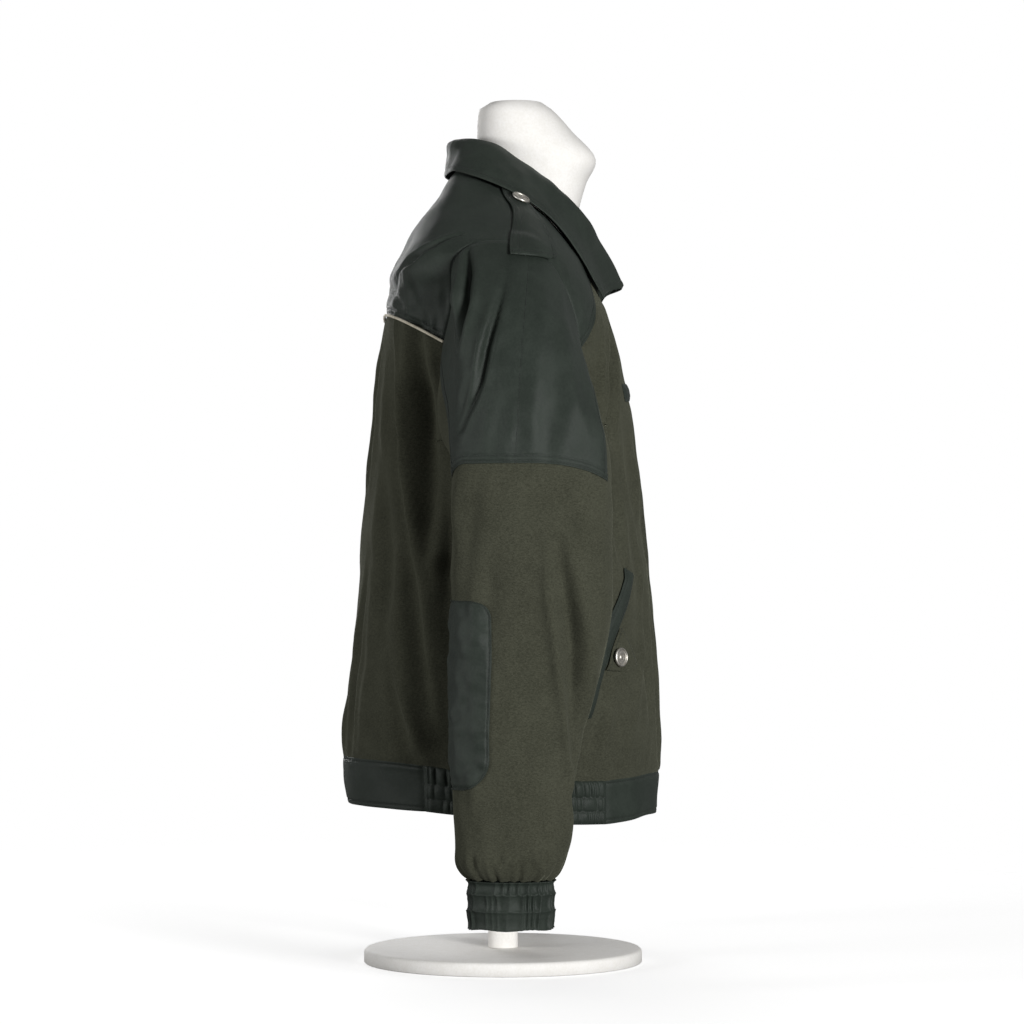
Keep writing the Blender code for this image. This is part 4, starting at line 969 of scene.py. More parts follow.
def capPoint(degrees, s):
    degrees, s = np.broadcast_arrays(np.asarray(degrees, float), np.asarray(s, float))
    start, end = armholePoint(degrees), ringPoint(degrees, np.full(degrees.shape, sleeve["ringTop"]))
    reach = np.linalg.norm(end - start, axis=-1, keepdims=True) * 1.15
    fold = np.abs((degrees + 180) % 360 - 180)
    slope = np.radians(sleeveSlope.at(fold)[0])
    leave = points(-np.cos(slope), 0 * slope, -np.sin(slope)) * reach
    arrive = unit(ringPoint(degrees, np.full(degrees.shape, sleeve["ringTop"] - 0.02)) - end) * reach
    k = s[..., None]
    point = (start * (1 + 2 * k) * (1 - k) ** 2 + leave * k * (1 - k) ** 2
             + end * k * k * (3 - 2 * k) - arrive * k * k * (1 - k))
    side = fold * np.where(degrees < 0, -1.0, 1.0)
    push = (sleeve["bulgeOut"] * np.exp(-((side - sleeve["bulgeAngle"]) / sleeve["bulgeWidth"]) ** 2
                                        - ((s - sleeve["bulgeAt"]) / sleeve["bulgeSpan"]) ** 2)
            * np.minimum(1, s * 6) * np.minimum(1, (1 - s) * 6))
    angle = np.radians(degrees)
    return point + points(-np.cos(angle) * 0.4, np.sin(angle), 0 * angle) * push[..., None]


def columnAngle(column, s):
    base = column * 15.0
    lean = 34 * np.exp(-((base + 90) / 50) ** 2) - 10 * np.exp(-((base - 105) / 50) ** 2)
    return base + lean * np.minimum(1.0, s)


def sleeveGrid():
    angle = columnAngle(sleeveColumns, 0.85)
    edge = capEdge.at(angle)[0]
    last = halved(np.zeros(len(angle)), np.ones(len(angle)), lambda s: capPoint(angle, s)[..., 2] > edge)
    rows = []
    for r in range(sleeve["capRows"] + 1):
        s = last * r / sleeve["capRows"]
        rows.append(capPoint(columnAngle(sleeveColumns, s / last * 0.85), s))
    rows.append(ringPoint(columnAngle(sleeveColumns, 1.0), np.full(len(angle), sleeve["ringTop"] - 0.004)))
    for z in sleeve["heights"]:
        settle = max(0.0, 1 - (sleeve["ringTop"] - z) / 0.09)
        rows.append(ringPoint(columnAngle(sleeveColumns, settle), np.full(len(angle), z)))
    grid = np.stack(rows)
    start = grid[0]
    normal = bodyNormal(start)
    inward = start.mean(axis=0) - start
    inward = unit(inward - normal * np.sum(inward * normal, axis=-1, keepdims=True))
    grid[0] = start + inward * 0.00035 + normal * 0.0009
    return creased(grid)


sleeveFine = {"rows": 12, "columns": 6}


def foldedSleeve(left):  # the right sleeve's cloth with its folds; the left one has its own, then is mirrored
    coarse = sleeveGrid()
    rowPlaces = placesAlong(coarse, sleeveFine["rows"])
    grid = sampleRing(sample(coarse, rowPlaces), sleeveFine["columns"])
    normal = gridNormals(grid, closed=True)
    facing = smooth(-normal[..., 0], 0.02, 0.45)
    push = 0.0
    for i, (*path, width, depth) in enumerate(sleeveFolds["side"]):
        path = points(0.0, *np.array(path).T / 1000)
        width, depth = width / 1000, depth / 1000
        if left:
            path = path + np.array((0, 0.006 * math.sin(i * 2.3 + 1), 0.012 * math.sin(i * 1.7)))
            width, depth = width * (1 + 0.2 * math.sin(i * 3.1)), depth * (0.85 + 0.3 * math.sin(i * 1.9))
        push = push + foldDepth(grid, path, width, depth, flat=0) * facing
    for i, (*path, width, depth) in enumerate(sleeveFolds["arm"]):
        angle, z = np.array(path, float).T
        z = z / 1000
        if left:
            angle, z = angle + 9 * math.sin(i * 1.9), z + 0.014 * math.sin(i * 2.9 + 1)
        push = push + foldDepth(grid, ringPoint(angle, z), width / 1000, depth / 1000)
    reach = arcs(grid, 0)
    waves = 0.0011 * ripple(grid, 0.080, 15 + left) + 0.0004 * ripple(grid, 0.028, 17 + left)
    push = push * smooth(reach, 0, 0.009) + waves * smooth(reach, 0, 0.022)
    turn = np.arctan2(grid[..., 1] + 0.0087, -(grid[..., 0] + 0.288))
    low = grid[..., 2] - 0.1153
    drawn = np.exp(-(low / 0.026) ** 2)
    wave = np.sin(turn * 17 + 1.2 * np.sin(turn * 3 + left)) * 0.6 + np.sin(turn * 29 + 2 + left) * 0.4
    push = push * (1 - 0.6 * drawn) + 0.0020 * wave * drawn + 0.0016 * np.exp(-(low / 0.004) ** 2)
    push = push + seams["pinch"] * np.exp(-(reach / seams["pinchWide"]) ** 2)
    return grid - normal * push[..., None], normal, grid


def edged(grid, normal, base, edges):  # the same grids with close lines near the given edges
    rows = placesAlong(base, 1, "b" in edges, "t" in edges)
    flat = [sample(g, rows) for g in (grid, normal, base)]
    turned = np.moveaxis(flat[2], 1, 0)
    columns = placesAlong(turned, 1, "l" in edges, "r" in edges)
    return [np.moveaxis(sample(np.moveaxis(g, 1, 0), columns), 0, 1) for g in flat]


def makeCap(word, left, outer, normal, base, places):  # the woven cap over the sleeve's top
    look = {"columns": (-6, 6), "twin": (0.0022, 0.0080), "puff": 0.0006, "puffWide": 0.012,
            "seam": ((-0.013, 0.530), (-0.0137, 0.5452), (-0.0177, 0.6274), (-0.0217, 0.6775),
                     (-0.0267, 0.7407)), "seamTop": 0.745, "seamEnd": 0.76}
    front, back = look["columns"]
    bottom = int(np.argmin(np.abs(places - sleeve["capRows"]))) + 1
    span = slice((front + 11) * sleeveFine["columns"], (back + 11) * sleeveFine["columns"] + 1)
    face, up, under = edged(outer[:bottom, span], normal[:bottom, span], base[:bottom, span], "tlr")
    d = edgeDistances(face)
    raised = wall["overlay"] + wall["woven"] + look["puff"] * smooth(nearest(d, "tlr"), 0, look["puffWide"])
    stitchAt = [(edge, s) for edge in "tlr" for s in look["twin"]]
    push = relief(d, stitchAt, "") + 0.0006 * bell(d["b"], 0.004) * (1 - overTop(face))
    for edge in "tlr":
        push = push + 0.0005 * bell(d[edge], 0.0016)
    seamY, seamZ = np.array(look["seam"]).T
    away = np.abs(face[..., 1] - np.interp(face[..., 2], seamZ, seamY))
    away = away + np.where(face[..., 2] > look["seamEnd"], 1.0, 0.0)
    push = push + 0.0006 * bell(away, 0.0016) - 0.0004 * bell(away - 0.004, 0.003)
    cap = face + up * (raised - push)[..., None]
    lining = face + up * wall["overlay"]
    keep(clothMesh("sleeve_cap_" + word + "_cloth", turned(cap, left), turned(lining, left)),
         "sleeve_cap_" + word, woven, "woven", under, rests=("sleeve_" + word + "_cloth",))
    for edge, s in stitchAt:
        stitchLines[word].append(flipped(inset(cap, edge, s) + 0.00015 * edgeNormals(cap, edge), left))
    centre = []
    for row in cap:
        height = row[len(row) // 2, 2]
        if height < look["seamTop"]:
            centre.append(row[int(np.argmin(np.abs(row[:, 1] - np.interp(height, seamZ, seamY))))])
    stitchLines[word].append(flipped(smoothLine(np.array(centre)) + (-0.0003, 0, 0), left))


def makePatch(word, left, outer, normal, base, places):  # the elbow patch, round at its corners
    look = {"columns": (2, 10), "rows": (8.02, 11.98), "lean": (0.02, 0.66), "lines": (56, 44),
            "stitch": 0.0022, "puff": 0.0009, "puffWide": 0.014, "pucker": 0.0006,
            "wrinkles": (0.0010, 0.0006),
            "top": (0.72, 0.09), "low": (0.48, 0.17)}  # an end's width, and how much of the height it takes
    v, u = np.meshgrid(*(np.linspace(0, 1, n) for n in look["lines"]), indexing="ij")

    def corner(fromEnd, wide, part):
        return wide + (1 - wide) * np.sqrt(np.clip(1 - (1 - np.clip(fromEnd / part, 0, 1)) ** 2, 0, 1))
    share = np.minimum(corner(v, *look["top"]), corner(1 - v, *look["low"]))
    lean = look["lean"][0] + (look["lean"][1] - look["lean"][0]) * v
    start = (look["columns"][0] + 11 - lean) * sleeveFine["columns"]
    end = (look["columns"][1] + 11) * sleeveFine["columns"]
    column = (start + end) / 2 + (u - 0.5) * (end - start) * share
    low, high = look["rows"]
    row = np.interp(low + v * (high - low), places, np.arange(len(places)))
    face, up, under = edged(*(bilinear(grid, row, column) for grid in (outer, normal, base)), "btlr")
    near = nearest(edgeDistances(face))
    z = face[..., 2]
    pucker = np.sin(z * 520 + 2.0 * np.sin(z * 90)) * bell(near - 0.006, 0.006)
    push = 0.0006 * bell(near, 0.0016) + seams["groove"] * bell(near - look["stitch"], seams["grooveWide"])
    push = push + look["pucker"] * pucker
    for size, length, seed in zip(look["wrinkles"], (0.030, 0.014), (31, 33)):
        push = push - size * ripple(face, length, seed + left)
    raised = wall["overlay"] + wall["woven"] + look["puff"] * smooth(near, 0, look["puffWide"])
    patch = face + up * (raised - push * smooth(near, -0.001, 0.003))[..., None]
    lining = face + up * wall["overlay"]
    keep(clothMesh("elbow_patch_" + word + "_cloth", turned(patch, left), turned(lining, left)),
         "elbow_patch_" + word, woven, "woven", under, rests=("sleeve_" + word + "_cloth",))
    for edge in "btlr":
        line = inset(patch, edge, look["stitch"])[2:-2]
        stitchLines[word].append(flipped(line + unit(line - face.mean(axis=(0, 1))) * 0.0001, left))


def makeSleeves():
    places = placesAlong(sleeveGrid(), sleeveFine["rows"])
    for word, left in sides:
        outer, normal, base = foldedSleeve(left)
        inner = outer - normal * wall["fleece"]
        keep(clothMesh("sleeve_" + word + "_cloth", turned(outer, left), turned(inner, left), closed=True),
             "sleeve_" + word, fleece, "fleece", np.concatenate([base, base[:, :1]], axis=1))
        makeCap(word, left, outer, normal, base, places)
        makePatch(word, left, outer, normal, base, places)
    print("sleeves made")


def edgeNormals(grid, edge):  # outward directions at the ends of a grid's lines on one edge
    normal = gridNormals(grid)
    return unit({"b": normal[0], "t": normal[-1], "l": normal[:, 0], "r": normal[:, -1]}[edge])


def smoothLine(line, rounds=3):
    line = line.copy()
    for _ in range(rounds):
        line[1:-1] = (line[:-2] + line[1:-1] * 2 + line[2:]) / 4
    return line


def makeCuffs():
    look = {"top": 0.1147, "bottom": 0.0672, "inset": 0.0008, "pitch": 0.0088, "deep": 0.0034, "rows": 46,
            "columns": 300, "channels": (0.0, 0.38, 0.74, 1.0), "gather": 1.5, "mean": 0.0385,
            "profile": ((0.0672, -0.0012), (0.079, 0.0006), (0.091, 0.0004), (0.1030, 0.0012), (0.1147, 0.0))}
    centreX, centreY, halfX, halfY = sleeveRings.at(0.1150)
    degrees = -165 + np.arange(look["columns"]) * 360 / look["columns"]
    z = np.linspace(look["bottom"], look["top"], look["rows"])[:, None]
    out = np.interp(z, *np.array(look["profile"]).T) - look["inset"]
    angle = np.radians(degrees)[None, :]
    sharp = 2 / sleeve["power"]
    x = centreX - (halfX + out) * signedPower(np.cos(angle), sharp)
    grid = points(x, centreY + (halfY + out) * signedPower(np.sin(angle), sharp), z)
    normal = gridNormals(grid, closed=True)
    up = (z - look["bottom"]) / (look["top"] - look["bottom"]) + 0 * angle
    around = (np.radians(degrees + 165)[None, :] + 0 * z) * look["mean"]
    whole = np.concatenate([grid, grid[:, :1]], axis=1)
    for word, left in sides:
        stand = gathers(around, up, look["pitch"], look["channels"], look["deep"], 21 + left)
        stand = stand - 0.0012 * bell(look["top"] - z, 0.002) - 0.0008
        outer = grid + normal * stand[..., None]
        outer[..., 2] += 0.0007 * np.sin(around * 150) * np.clip(1 - up * 6, 0, 1)
        inner = outer - normal * wall["woven"]
        keep(clothMesh("cuff_" + word + "_cloth", turned(outer, left), turned(inner, left), closed=True),
             "cuff_" + word, woven, "woven", whole, held="gathered", rests=("sleeve_" + word + "_cloth",),
             gather=look["gather"])
        for k in look["channels"][1:-1]:
            line = (outer + normal * 0.0002)[int(round(k * (look["rows"] - 1)))]
            stitchLines[word].append(flipped(np.concatenate([line, line[:1]]), left))


collarTurns = (0, 9, 18, 27, 36, 48, 60, 72, 84, 96, 110, 125, 142, 160, 180)


def makeCollar():
    look = {"clear": 0.0060, "rows": 10, "columns": 8, "stitch": 0.0058, "thick": 0.0019}
    stand, leaf = [], []
    for turn in collarTurns:
        crest, edge = (np.array(table.at(turn)) * mirrored for table in (foldLine, leafEdge))
        root = neckPoint(5 + (180 - 5) * turn / 180)
        root = root + bodyNormal(root) * 0.0009 + upward * 0.0006
        root = root + unit(np.array((-root[0], neckHole["y"] - root[1], 0))) * 0.0012
        inward = unit(np.array((-crest[0], neckHole["y"] - crest[1], 0)))
        top = crest - upward * 0.0034 + unit(root - crest) * 0.001
        stand.append([root, root * 0.5 + top * 0.5, top])
        roll = crest - inward * 0.0034 - upward * 0.0020
        half = clearOfBody(crest * 0.45 + edge * 0.55 + upward * (0.0035 * min(1, turn / 20)), look["clear"])
        over = crest + inward * 0.0016
        tuck = top + inward * 0.0006 - upward * 0.0045
        leaf.append([clearOfBody(edge, look["clear"]), half, roll, over, tuck])
    stand = joined(np.moveaxis(np.array(stand), 0, 1)[:, ::-1])
    leaf = joined(np.moveaxis(np.array(leaf), 0, 1)[:, ::-1])

    fine = fineGrid(stand, look["rows"], look["columns"], "")
    normal = gridNormals(fine)
    outer = fine + normal * (0.0004 * ripple(fine, 0.03, 41))[..., None]
    keep(clothMesh("collar_stand_cloth", outer, outer - normal * wall["woven"]), "collar_stand",
         woven, "woven", fine, held="folded", rests=("back_yoke_cloth",))

    fine = fineGrid(leaf, look["rows"], look["columns"], "blr")
    normal = gridNormals(fine)
    near = nearest(edgeDistances(fine), "blr")
    push = 0.0005 * bell(near - look["stitch"], 0.0013) + 0.0006 * bell(near, 0.0015)
    waves = 0.0006 * ripple(fine, 0.042, 43) + 0.0003 * ripple(fine, 0.016, 44)
    outer = fine - normal * (push + waves * smooth(near, 0.0, 0.012))[..., None]
    keep(clothMesh("collar_leaf_cloth", outer, outer - normal * look["thick"], bulge=0.5), "collar_leaf",
         woven, "woven", fine, held="folded", rests=("collar_stand_cloth",))
    for edge in "blr":
        line = inset(outer, edge, look["stitch"])
        line = line if edge == "b" else line[:30]
        far = np.minimum(*(np.linalg.norm(line - line[i], axis=-1) for i in (0, -1)))
        line = line[far > look["stitch"]]
        stitchLines["body"].append(line + unit(line - np.array((0, 0, 0.78))) * 0.0001)
    print("collar made")


def strapColumn(side, rows):  # one lengthwise line, from under the collar over the yoke and onto the cap
    end = {"y": -0.0312, "wide": 0.0480, "frontZ": 0.7425, "backZ": 0.7450}
    y = end["y"] + side * end["wide"] / 2
    z = end["frontZ"] + (end["backZ"] - end["frontZ"]) * (side + 1) / 2
    angle = halved(np.array(-60.0), np.array(20.0), lambda a: armholePoint(a)[..., 1] < y)
    edge = armholePoint(angle)
    over = edge[2] > z
    out = np.linspace(strapLine.keys[0], -(edge if over else onSide(y, z))[0], 14)
    middle, wide = strapLine.at(out)
    line = onShoulder(-out, middle + side * wide / 2)
    if over:
        depth = halved(np.array(0.0), np.array(1.0), lambda s: capPoint(angle, s)[..., 2] > z)
        line = np.concatenate([line, capPoint(angle, depth * np.linspace(0, 1, 8)[1:])])
    reach = arcs(line[:, None], 0)[:, 0]
    even = np.linspace(0, reach[-1], rows + 1)
    return np.stack([np.interp(even, reach, line[:, i]) for i in range(3)], -1)


def makeStraps():
    look = {"rows": 44, "columns": 26, "twin": (0.0022, 0.0080), "hemmed": 0.0056, "thick": 0.0022,
            "riseOut": 0.190, "riseSpan": 0.014, "rise": 0.0026, "button": (-0.1275, -0.0165)}
    base = np.stack([strapColumn(s, look["rows"]) for s in np.linspace(-1, 1, look["columns"] + 1)], axis=1)
    fine = fineGrid(smoothLine(base, 5), 1, 1)
    normal = gridNormals(fine)
    d = edgeDistances(fine)
    near = nearest(d, "lrb")
    for word, left in sides:
        push = 0.0007 * bell(nearest(d), 0.0016)
        for s in look["twin"]:
            push = push + 0.00045 * bell(near - s, 0.0011)
        push = push + 0.0009 * bell(d["t"] - look["hemmed"], 0.0011)
        push = push - 0.0010 * smooth(near, 0.004, 0.016) - 0.0005 * ripple(fine, 0.03, 51 + left)
        onYoke = ontoBody(fine)
        folds = (bodyFolded(onYoke, "woven") - onYoke) * smooth(-fine[..., :1], 0.204, 0.188)
        rise = look["rise"] * smooth(-fine[..., 0], look["riseOut"], look["riseOut"] + look["riseSpan"])
        grid = fine + folds + normal * (wall["loose"] + rise)[..., None]
        outer = grid + normal * (look["thick"] - push)[..., None]
        name = "shoulder_strap_" + word
        piece = clothMesh(name + "_cloth", turned(outer, left), turned(grid, left), bulge=0.5)
        keep(piece, name, woven, "woven", fine, held="laid",
             rests=("back_yoke_cloth", "front_yoke_" + word + "_cloth"))
        for edge, s in [(e, s) for e in "lr" for s in look["twin"]] + [("t", look["hemmed"])]:
            stitchLines[word].append(flipped(inset(outer, edge, s) + upward * 0.0001, left))
        seat = onShoulder(*look["button"])
        up = bodyNormal(seat)
        seat = seat + up * (wall["loose"] + look["thick"] + 0.0016)
        makeButton("strap_button_" + word, flipped(seat, left), flipped(up, left))


def roundFaces(rings, steps):  # faces of closed rings between a bottom and a top point, which come last
    bottom, top, last = rings * steps, rings * steps + 1, (rings - 1) * steps
    faces = []
    for i in range(steps):
        j = (i + 1) % steps
        faces += [(bottom, j, i), (top, last + i, last + j)]
        for a, b in ((r * steps + i, r * steps + j) for r in range(rings - 1)):
            faces.append((a, b, b + steps, a + steps))
    return faces


def latheMesh(name, profile, steps, place=(0, 0, 0), axis=(0, 0, 1)):
    profile = np.array(profile)
    turn = Vector((0, 0, 1)).rotation_difference(Vector(axis)).to_matrix()
    angle = np.linspace(0, 2 * math.pi, steps, endpoint=False)
    inner = profile[1:-1]
    ring = points(inner[:, :1] * np.cos(angle), inner[:, :1] * np.sin(angle), inner[:, 1:] + 0 * angle)
    verts = np.concatenate([ring.reshape(-1, 3), [(0, 0, profile[0, 1]), (0, 0, profile[-1, 1])]])
    return addMesh(name, verts @ np.array(turn).T + np.array(place), roundFaces(len(inner), steps))


def makeButton(node, place, axis):  # a domed rim round a sunken disc, on a short shank
    look = {"radius": 0.010, "steps": 56, "profile": (  # share of the radius, height
        (0, -0.0012), (0.42, -0.0012), (0.42, 0.0002), (0.93, 0.0002), (0.985, 0.0006), (1, 0.0012),
        (0.985, 0.0020), (0.93, 0.0026), (0.87, 0.0030), (0.83, 0.00295), (0.80, 0.0026), (0.775, 0.0020),
        (0.755, 0.0017), (0.60, 0.00185), (0.45, 0.0020), (0.36, 0.00205), (0.33, 0.0018), (0.30, 0.0019),
        (0.24, 0.0024), (0.15, 0.0027), (0.06, 0.0028), (0, 0.0028))}
    profile = [(share * look["radius"], z) for share, z in look["profile"]]
    keep(latheMesh(node + "_metal", profile, look["steps"], place, axis), node, silver, "button_metal")


def frontPlace(x, z, out):
    p = onFace(x, z)
    normal = bodyNormal(p)
    return bodyFolded(p, "fleece") + normal * np.asarray(out)[..., None], normal


def laidPiece(node, left, coarse, lines, gap, under, puff, edges, lift=0.0, cloth=None):
    fine = fineGrid(coarse, *lines)
    near = nearest(edgeDistances(fine))
    push = 0.0009 * bell(near, 0.0016) + 0.0004 * bell(near - 0.0030, 0.0012)
    out = gap + wall["woven"] + puff * smooth(near, 0, 0.006) - push
    outer, normal = frontPlace(fine[..., 0], fine[..., 2], out)
    inner, _ = frontPlace(fine[..., 0], fine[..., 2], np.full(near.shape, under))
    word = sides[left][0]
    keep(clothMesh(node + word + "_cloth", turned(outer, left), turned(inner, left), bulge=0.4), node + word,
         *(cloth or (woven, "woven")), outer, held="laid", rests=("front_" + word + "_cloth",))
    for edge in edges:
        line = inset(outer, edge, 0.0030) + lift * inset(normal, edge, 0.0)
        stitchLines[word].append(flipped(line, left))


def makePockets():
    slant = {"line": ((-0.2060, 0.274), (-0.2015, 0.306), (-0.1895, 0.346), (-0.1755, 0.3710),
                      (-0.1575, 0.3965), (-0.1410, 0.4230)), "wide": 0.015, "gap": 0.0019, "puff": 0.0012,
             "tab": (((-0.1885, 0.3220), (-0.1690, 0.3205), (-0.1475, 0.3260)),
                     ((-0.1812, 0.3440), (-0.1690, 0.3430), (-0.1550, 0.3445)),
                     ((-0.1700, 0.3640), (-0.1680, 0.3635), (-0.1660, 0.3630))),
             "tabRise": 0.0006, "button": (-0.1768, 0.3345), "buttonRise": 0.0030}
    line = np.array(slant["line"])
    ahead = unit(np.gradient(line, axis=0))
    cross = np.stack([-ahead[:, 1], ahead[:, 0]], -1) * slant["wide"] / 2
    welt = np.stack([line + cross, line, line - cross], axis=1)
    tab = np.array(slant["tab"])
    gap, puff = slant["gap"], slant["puff"]
    for word, left in sides:
        laidPiece("pocket_welt_", left, points(welt[..., 0], 0.0, welt[..., 1]), (10, 8), gap, gap, puff,
                  "lr", 0.0001)
        laidPiece("pocket_tab_", left, points(tab[..., 0], 0.0, tab[..., 1]), (12, 12),
                  gap + slant["tabRise"], gap, puff, "lr", 0.0001, (fleece, "fleece"))
        x, z = slant["button"]
        seat, up = frontPlace(np.array(x), np.array(z), gap + wall["woven"] + slant["buttonRise"])
        makeButton("pocket_button_" + word, flipped(seat, left), flipped(up, left))
    chest = {"line": ((-0.094, 0.6105), (-0.077, 0.6110), (-0.059, 0.6115), (-0.041, 0.6120)), "tall": 0.018,
             "gap": 0.0005, "puff": 0.0006}
    x, z = np.array(chest["line"]).T
    welt = np.stack([points(x, 0.0, z + s * chest["tall"] / 2) for s in (-1, 0, 1)])
    laidPiece("chest_welt_", 0, welt, (10, 10), chest["gap"], chest["gap"] / 2, chest["puff"], "bt")


def makeForm():
    look = {"columns": 120, "step": 0.006, "blend": 8, "neckPower": 2.2,
            "foot": ((0, 0), (0.149, 0), (0.150, 0.001), (0.150, 0.0105), (0.1494, 0.0128), (0.1476, 0.0144),
                     (0.145, 0.015), (0.09, 0.015), (0.03, 0.015), (0, 0.015)),
            "pole": ((0, 0.0153), (0.0155, 0.0153), (0.016, 0.0158), (0.016, 0.11), (0.016, 0.2042),
                     (0.0155, 0.2047), (0, 0.2047))}
    heights = np.unique(np.round(np.concatenate([np.arange(0.205, 0.9255, look["step"]), (0.9255,)]), 5))
    degrees = np.arange(look["columns"]) * 360 / look["columns"]
    turn = np.radians(degrees)[None, :]
    z = heights[:, None] + 0 * turn

    def reachOf(table, sharp, middle):
        row = table.at(z)
        front, back, half = row[:3]
        sharp = row[3] if len(row) > 3 else sharp
        centre, depth = (front + back) / 2, (back - front) / 2

        def isIn(reach):
            return (np.abs(np.sin(turn) * reach / half) ** sharp
                    + np.abs((middle - np.cos(turn) * reach - centre) / depth) ** sharp) < 1
        return halved(np.zeros(z.shape), np.full(z.shape, 0.5), isIn, 40)
    neck = neckRings.at(z)
    middle = (neck[0] + neck[1]) / 2
    reach = np.where(z >= 0.690, reachOf(neckRings, look["neckPower"], middle), 0.0)
    torso = np.where(z <= 0.840, reachOf(formRings, 2.4, middle), 0.0)
    reach = (reach ** look["blend"] + torso ** look["blend"]) ** (1 / look["blend"])
    grid = points(reach * np.sin(turn), middle - reach * np.cos(turn), z)
    verts = np.concatenate([grid.reshape(-1, 3), grid[:1].mean(axis=1), grid[-1:].mean(axis=1)])
    skin = addMesh("dress_form_skin", verts, roundFaces(len(grid), look["columns"]))
    keep(skin, "dress_form", plaster, "form")
    keep(latheMesh("stand_base_disc", look["foot"], 128), "stand_base", plaster, "form")
    keep(latheMesh("stand_pole_tube", look["pole"], 48), "stand_pole", plaster, "form")
    print("form made")


# Geometry nodes set one small rounded stitch at every step of a line.
def stitchTree():
    tree = bpy.data.node_groups.new("stitches", "GeometryNodeTree")
    nodes, face = tree.nodes, tree.interface
    face.new_socket("Geometry", in_out="INPUT", socket_type="NodeSocketGeometry")
    for name, value in (("Pitch", 0.0031), ("Length", 0.0024), ("Thickness", 0.00042)):
        face.new_socket(name, in_out="INPUT", socket_type="NodeSocketFloat").default_value = value
    face.new_socket("Finish", in_out="INPUT", socket_type="NodeSocketMaterial")
    face.new_socket("Geometry", in_out="OUTPUT", socket_type="NodeSocketGeometry")
    given, result = nodes.new("NodeGroupInput"), nodes.new("NodeGroupOutput")
    steps = nodes.new("GeometryNodeCurveToPoints")
    steps.mode = "LENGTH"
    ball = nodes.new("GeometryNodeMeshUVSphere")
    for name, value in (("Segments", 6), ("Rings", 4), ("Radius", 0.5)):
        ball.inputs[name].default_value = value
    size = nodes.new("ShaderNodeCombineXYZ")
    place = nodes.new("GeometryNodeInstanceOnPoints")
    real = nodes.new("GeometryNodeRealizeInstances")
    paint = nodes.new("GeometryNodeSetMaterial")
    for start, output, end, socket in (
            (given, "Geometry", steps, "Curve"), (given, "Pitch", steps, "Length"),
            (given, "Thickness", size, "X"), (given, "Thickness", size, "Y"), (given, "Length", size, "Z"),
            (steps, "Points", place, "Points"), (ball, "Mesh", place, "Instance"),
            (steps, "Rotation", place, "Rotation"), (size, "Vector", place, "Scale"),
            (place, "Instances", real, "Geometry"), (real, "Geometry", paint, "Geometry"),
            (given, "Finish", paint, "Material"), (paint, "Geometry", result, "Geometry")):
        tree.links.new(start.outputs[output], end.inputs[socket])
    return tree


def makeStitches():
    look = {"Pitch": 0.0032, "Length": 0.0025, "Thickness": 0.00062}
    tree = stitchTree()
    ids = {item.name: item.identifier for item in tree.interface.items_tree if item.in_out == "INPUT"}
    for group, lines in stitchLines.items():
        curve = bpy.data.curves.new("lines", "CURVE")
        curve.dimensions = "3D"
        for line in lines:
            spline = curve.splines.new("POLY")
            spline.points.add(len(line) - 1)
            flat = np.concatenate([line, np.ones((len(line), 1))], axis=1)
            spline.points.foreach_set("co", flat.astype(np.float32).ravel())
        carrier = addObject("lines", curve)
        modifier = carrier.modifiers.new("stitches", "NODES")
        modifier.node_group = tree
        for name, value in look.items():
            modifier[ids[name]] = value
        modifier[ids["Finish"]] = thread
        bpy.context.view_layer.update()
        sewn = carrier.evaluated_get(bpy.context.evaluated_depsgraph_get())
        mesh = bpy.data.meshes.new_from_object(sewn)
        mesh.shade_smooth()
        bpy.data.objects.remove(carrier)
        piece = addObject("stitches_" + group, mesh)
        if not mesh.materials:
            mesh.materials.append(thread)
        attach(piece, "root")
        print("stitches", group, len(mesh.polygons))


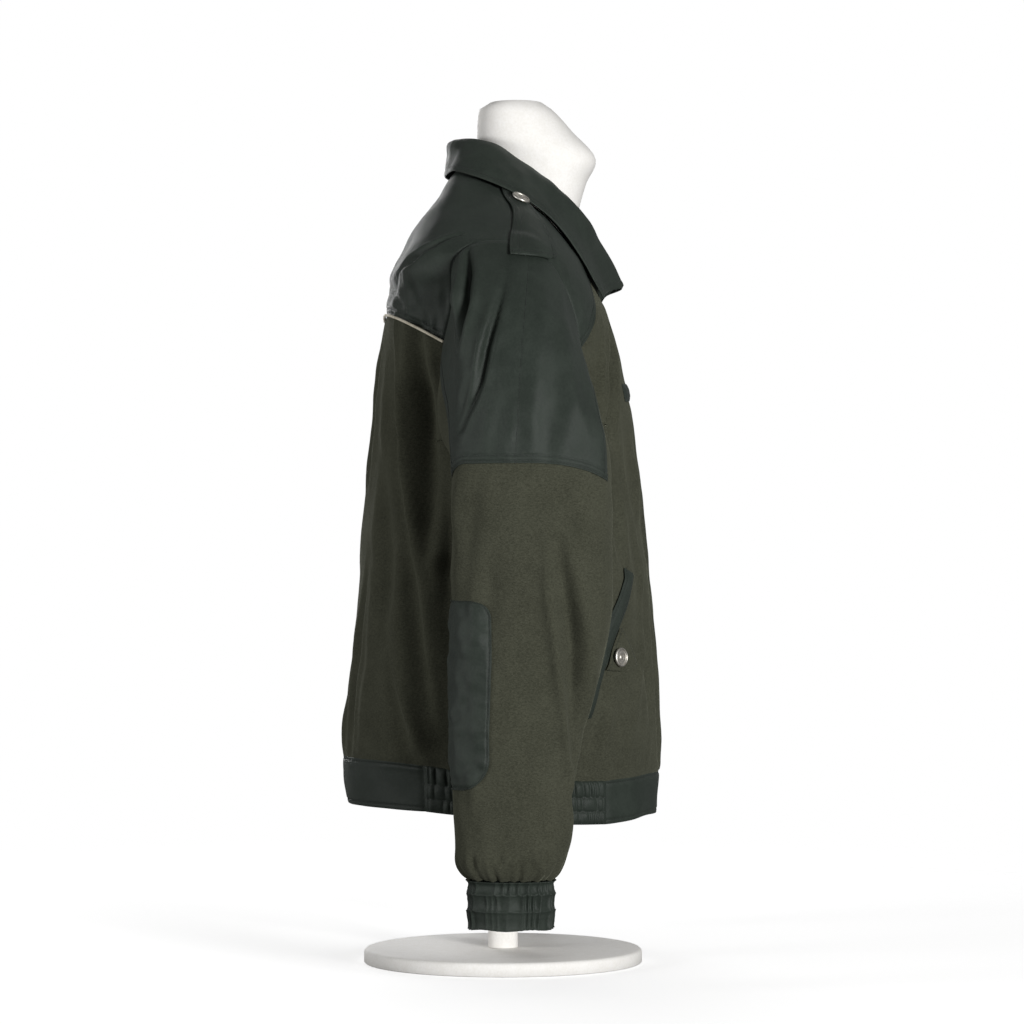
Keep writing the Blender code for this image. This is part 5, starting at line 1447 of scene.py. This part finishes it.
def makeStage():
    look = {"floor": 2.6, "fade": (0.45, 1.6), "air": 0.21, "seenAir": 1.0, "bounce": 0.22,
            "lights": (  # name, place, aim, size, energy
                ("keyLight", (-3.4, -1.9, 0.75), (0, 0, 0.55), 1.0, 146),
                ("fillLight", (-1.3, 3.4, 0.7), (0, 0, 0.50), 1.2, 46),
                ("backLight", (3.0, 0.6, 1.1), (0, 0, 0.55), 1.8, 40))}
    mesh = bpy.data.meshes.new("floor")
    r = look["floor"]
    mesh.from_pydata([(-r, -r, 0), (r, -r, 0), (r, r, 0), (-r, r, 0)], [], [(0, 1, 2, 3)])
    floor = addObject("floor", mesh)
    finish = Finish("paleFloor", {"Base Color": (0.92, 0.92, 0.92, 1), "Roughness": 0.9,
                                  "Specular IOR Level": 0.1, "Emission Color": (1, 1, 1, 1),
                                  "Emission Strength": 0.5})
    away = finish.node("ShaderNodeVectorMath", {"operation": "LENGTH"}, {0: finish.place()}, "Value")
    fade = finish.node("ShaderNodeMapRange", {"interpolation_type": "SMOOTHSTEP"},
                       {0: away, 1: look["fade"][0], 2: look["fade"][1], 3: 1.0, 4: 0.0})
    finish.feed("Alpha", fade)
    seen = finish.node("ShaderNodeLightPath", {}, {}, "Is Camera Ray")
    matte = finish.node("ShaderNodeBsdfDiffuse", {}, {"Color": (*[look["bounce"]] * 3, 1)})
    whole = Value(finish, finish.shader.outputs["BSDF"])
    mixed = finish.node("ShaderNodeMixShader", {}, {0: seen, 1: matte, 2: whole})
    finish.tree.links.new(mixed.socket, finish.tree.nodes["Material Output"].inputs["Surface"])
    mesh.materials.append(finish.material)

    world = bpy.data.worlds.new("studio")
    world.use_nodes = True
    bpy.context.scene.world = world
    nodes, links = world.node_tree.nodes, world.node_tree.links
    air = nodes["Background"]
    air.inputs["Color"].default_value = (1, 1, 1, 1)
    path, choose = nodes.new("ShaderNodeLightPath"), nodes.new("ShaderNodeMapRange")
    choose.inputs["To Min"].default_value = look["air"]
    choose.inputs["To Max"].default_value = look["seenAir"]
    links.new(path.outputs["Is Camera Ray"], choose.inputs["Value"])
    links.new(choose.outputs["Result"], air.inputs["Strength"])

    for name, place, aim, size, energy in look["lights"]:
        light = bpy.data.lights.new(name, "AREA")
        light.shape, light.size, light.energy = "DISK", size, energy
        lamp = addObject(name, light)
        lamp.location = place
        lamp.rotation_euler = (Vector(aim) - Vector(place)).to_track_quat("-Z", "Y").to_euler()

    view = {"place": (-4.2, -0.0097, 0.485), "across": 1.106, "sensor": 36.0}
    camera = bpy.data.cameras.new("camera")
    camera.sensor_width = view["sensor"]
    camera.lens = -view["sensor"] * view["place"][0] / view["across"]
    eye = addObject("camera", camera)
    eye.location = view["place"]
    eye.rotation_euler = (math.radians(90), 0, math.radians(-90))
    bpy.context.scene.camera = eye
    bpy.context.scene.view_settings.view_transform = "Standard"


makeStage()
makeBack()
makeFronts()
print("body made")
makeHem()
print("hem made")
makeSleeves()
makeCuffs()
makeCollar()
makeStraps()
makePockets()
makeForm()
makeStitches()
print("cuts:", cuts)
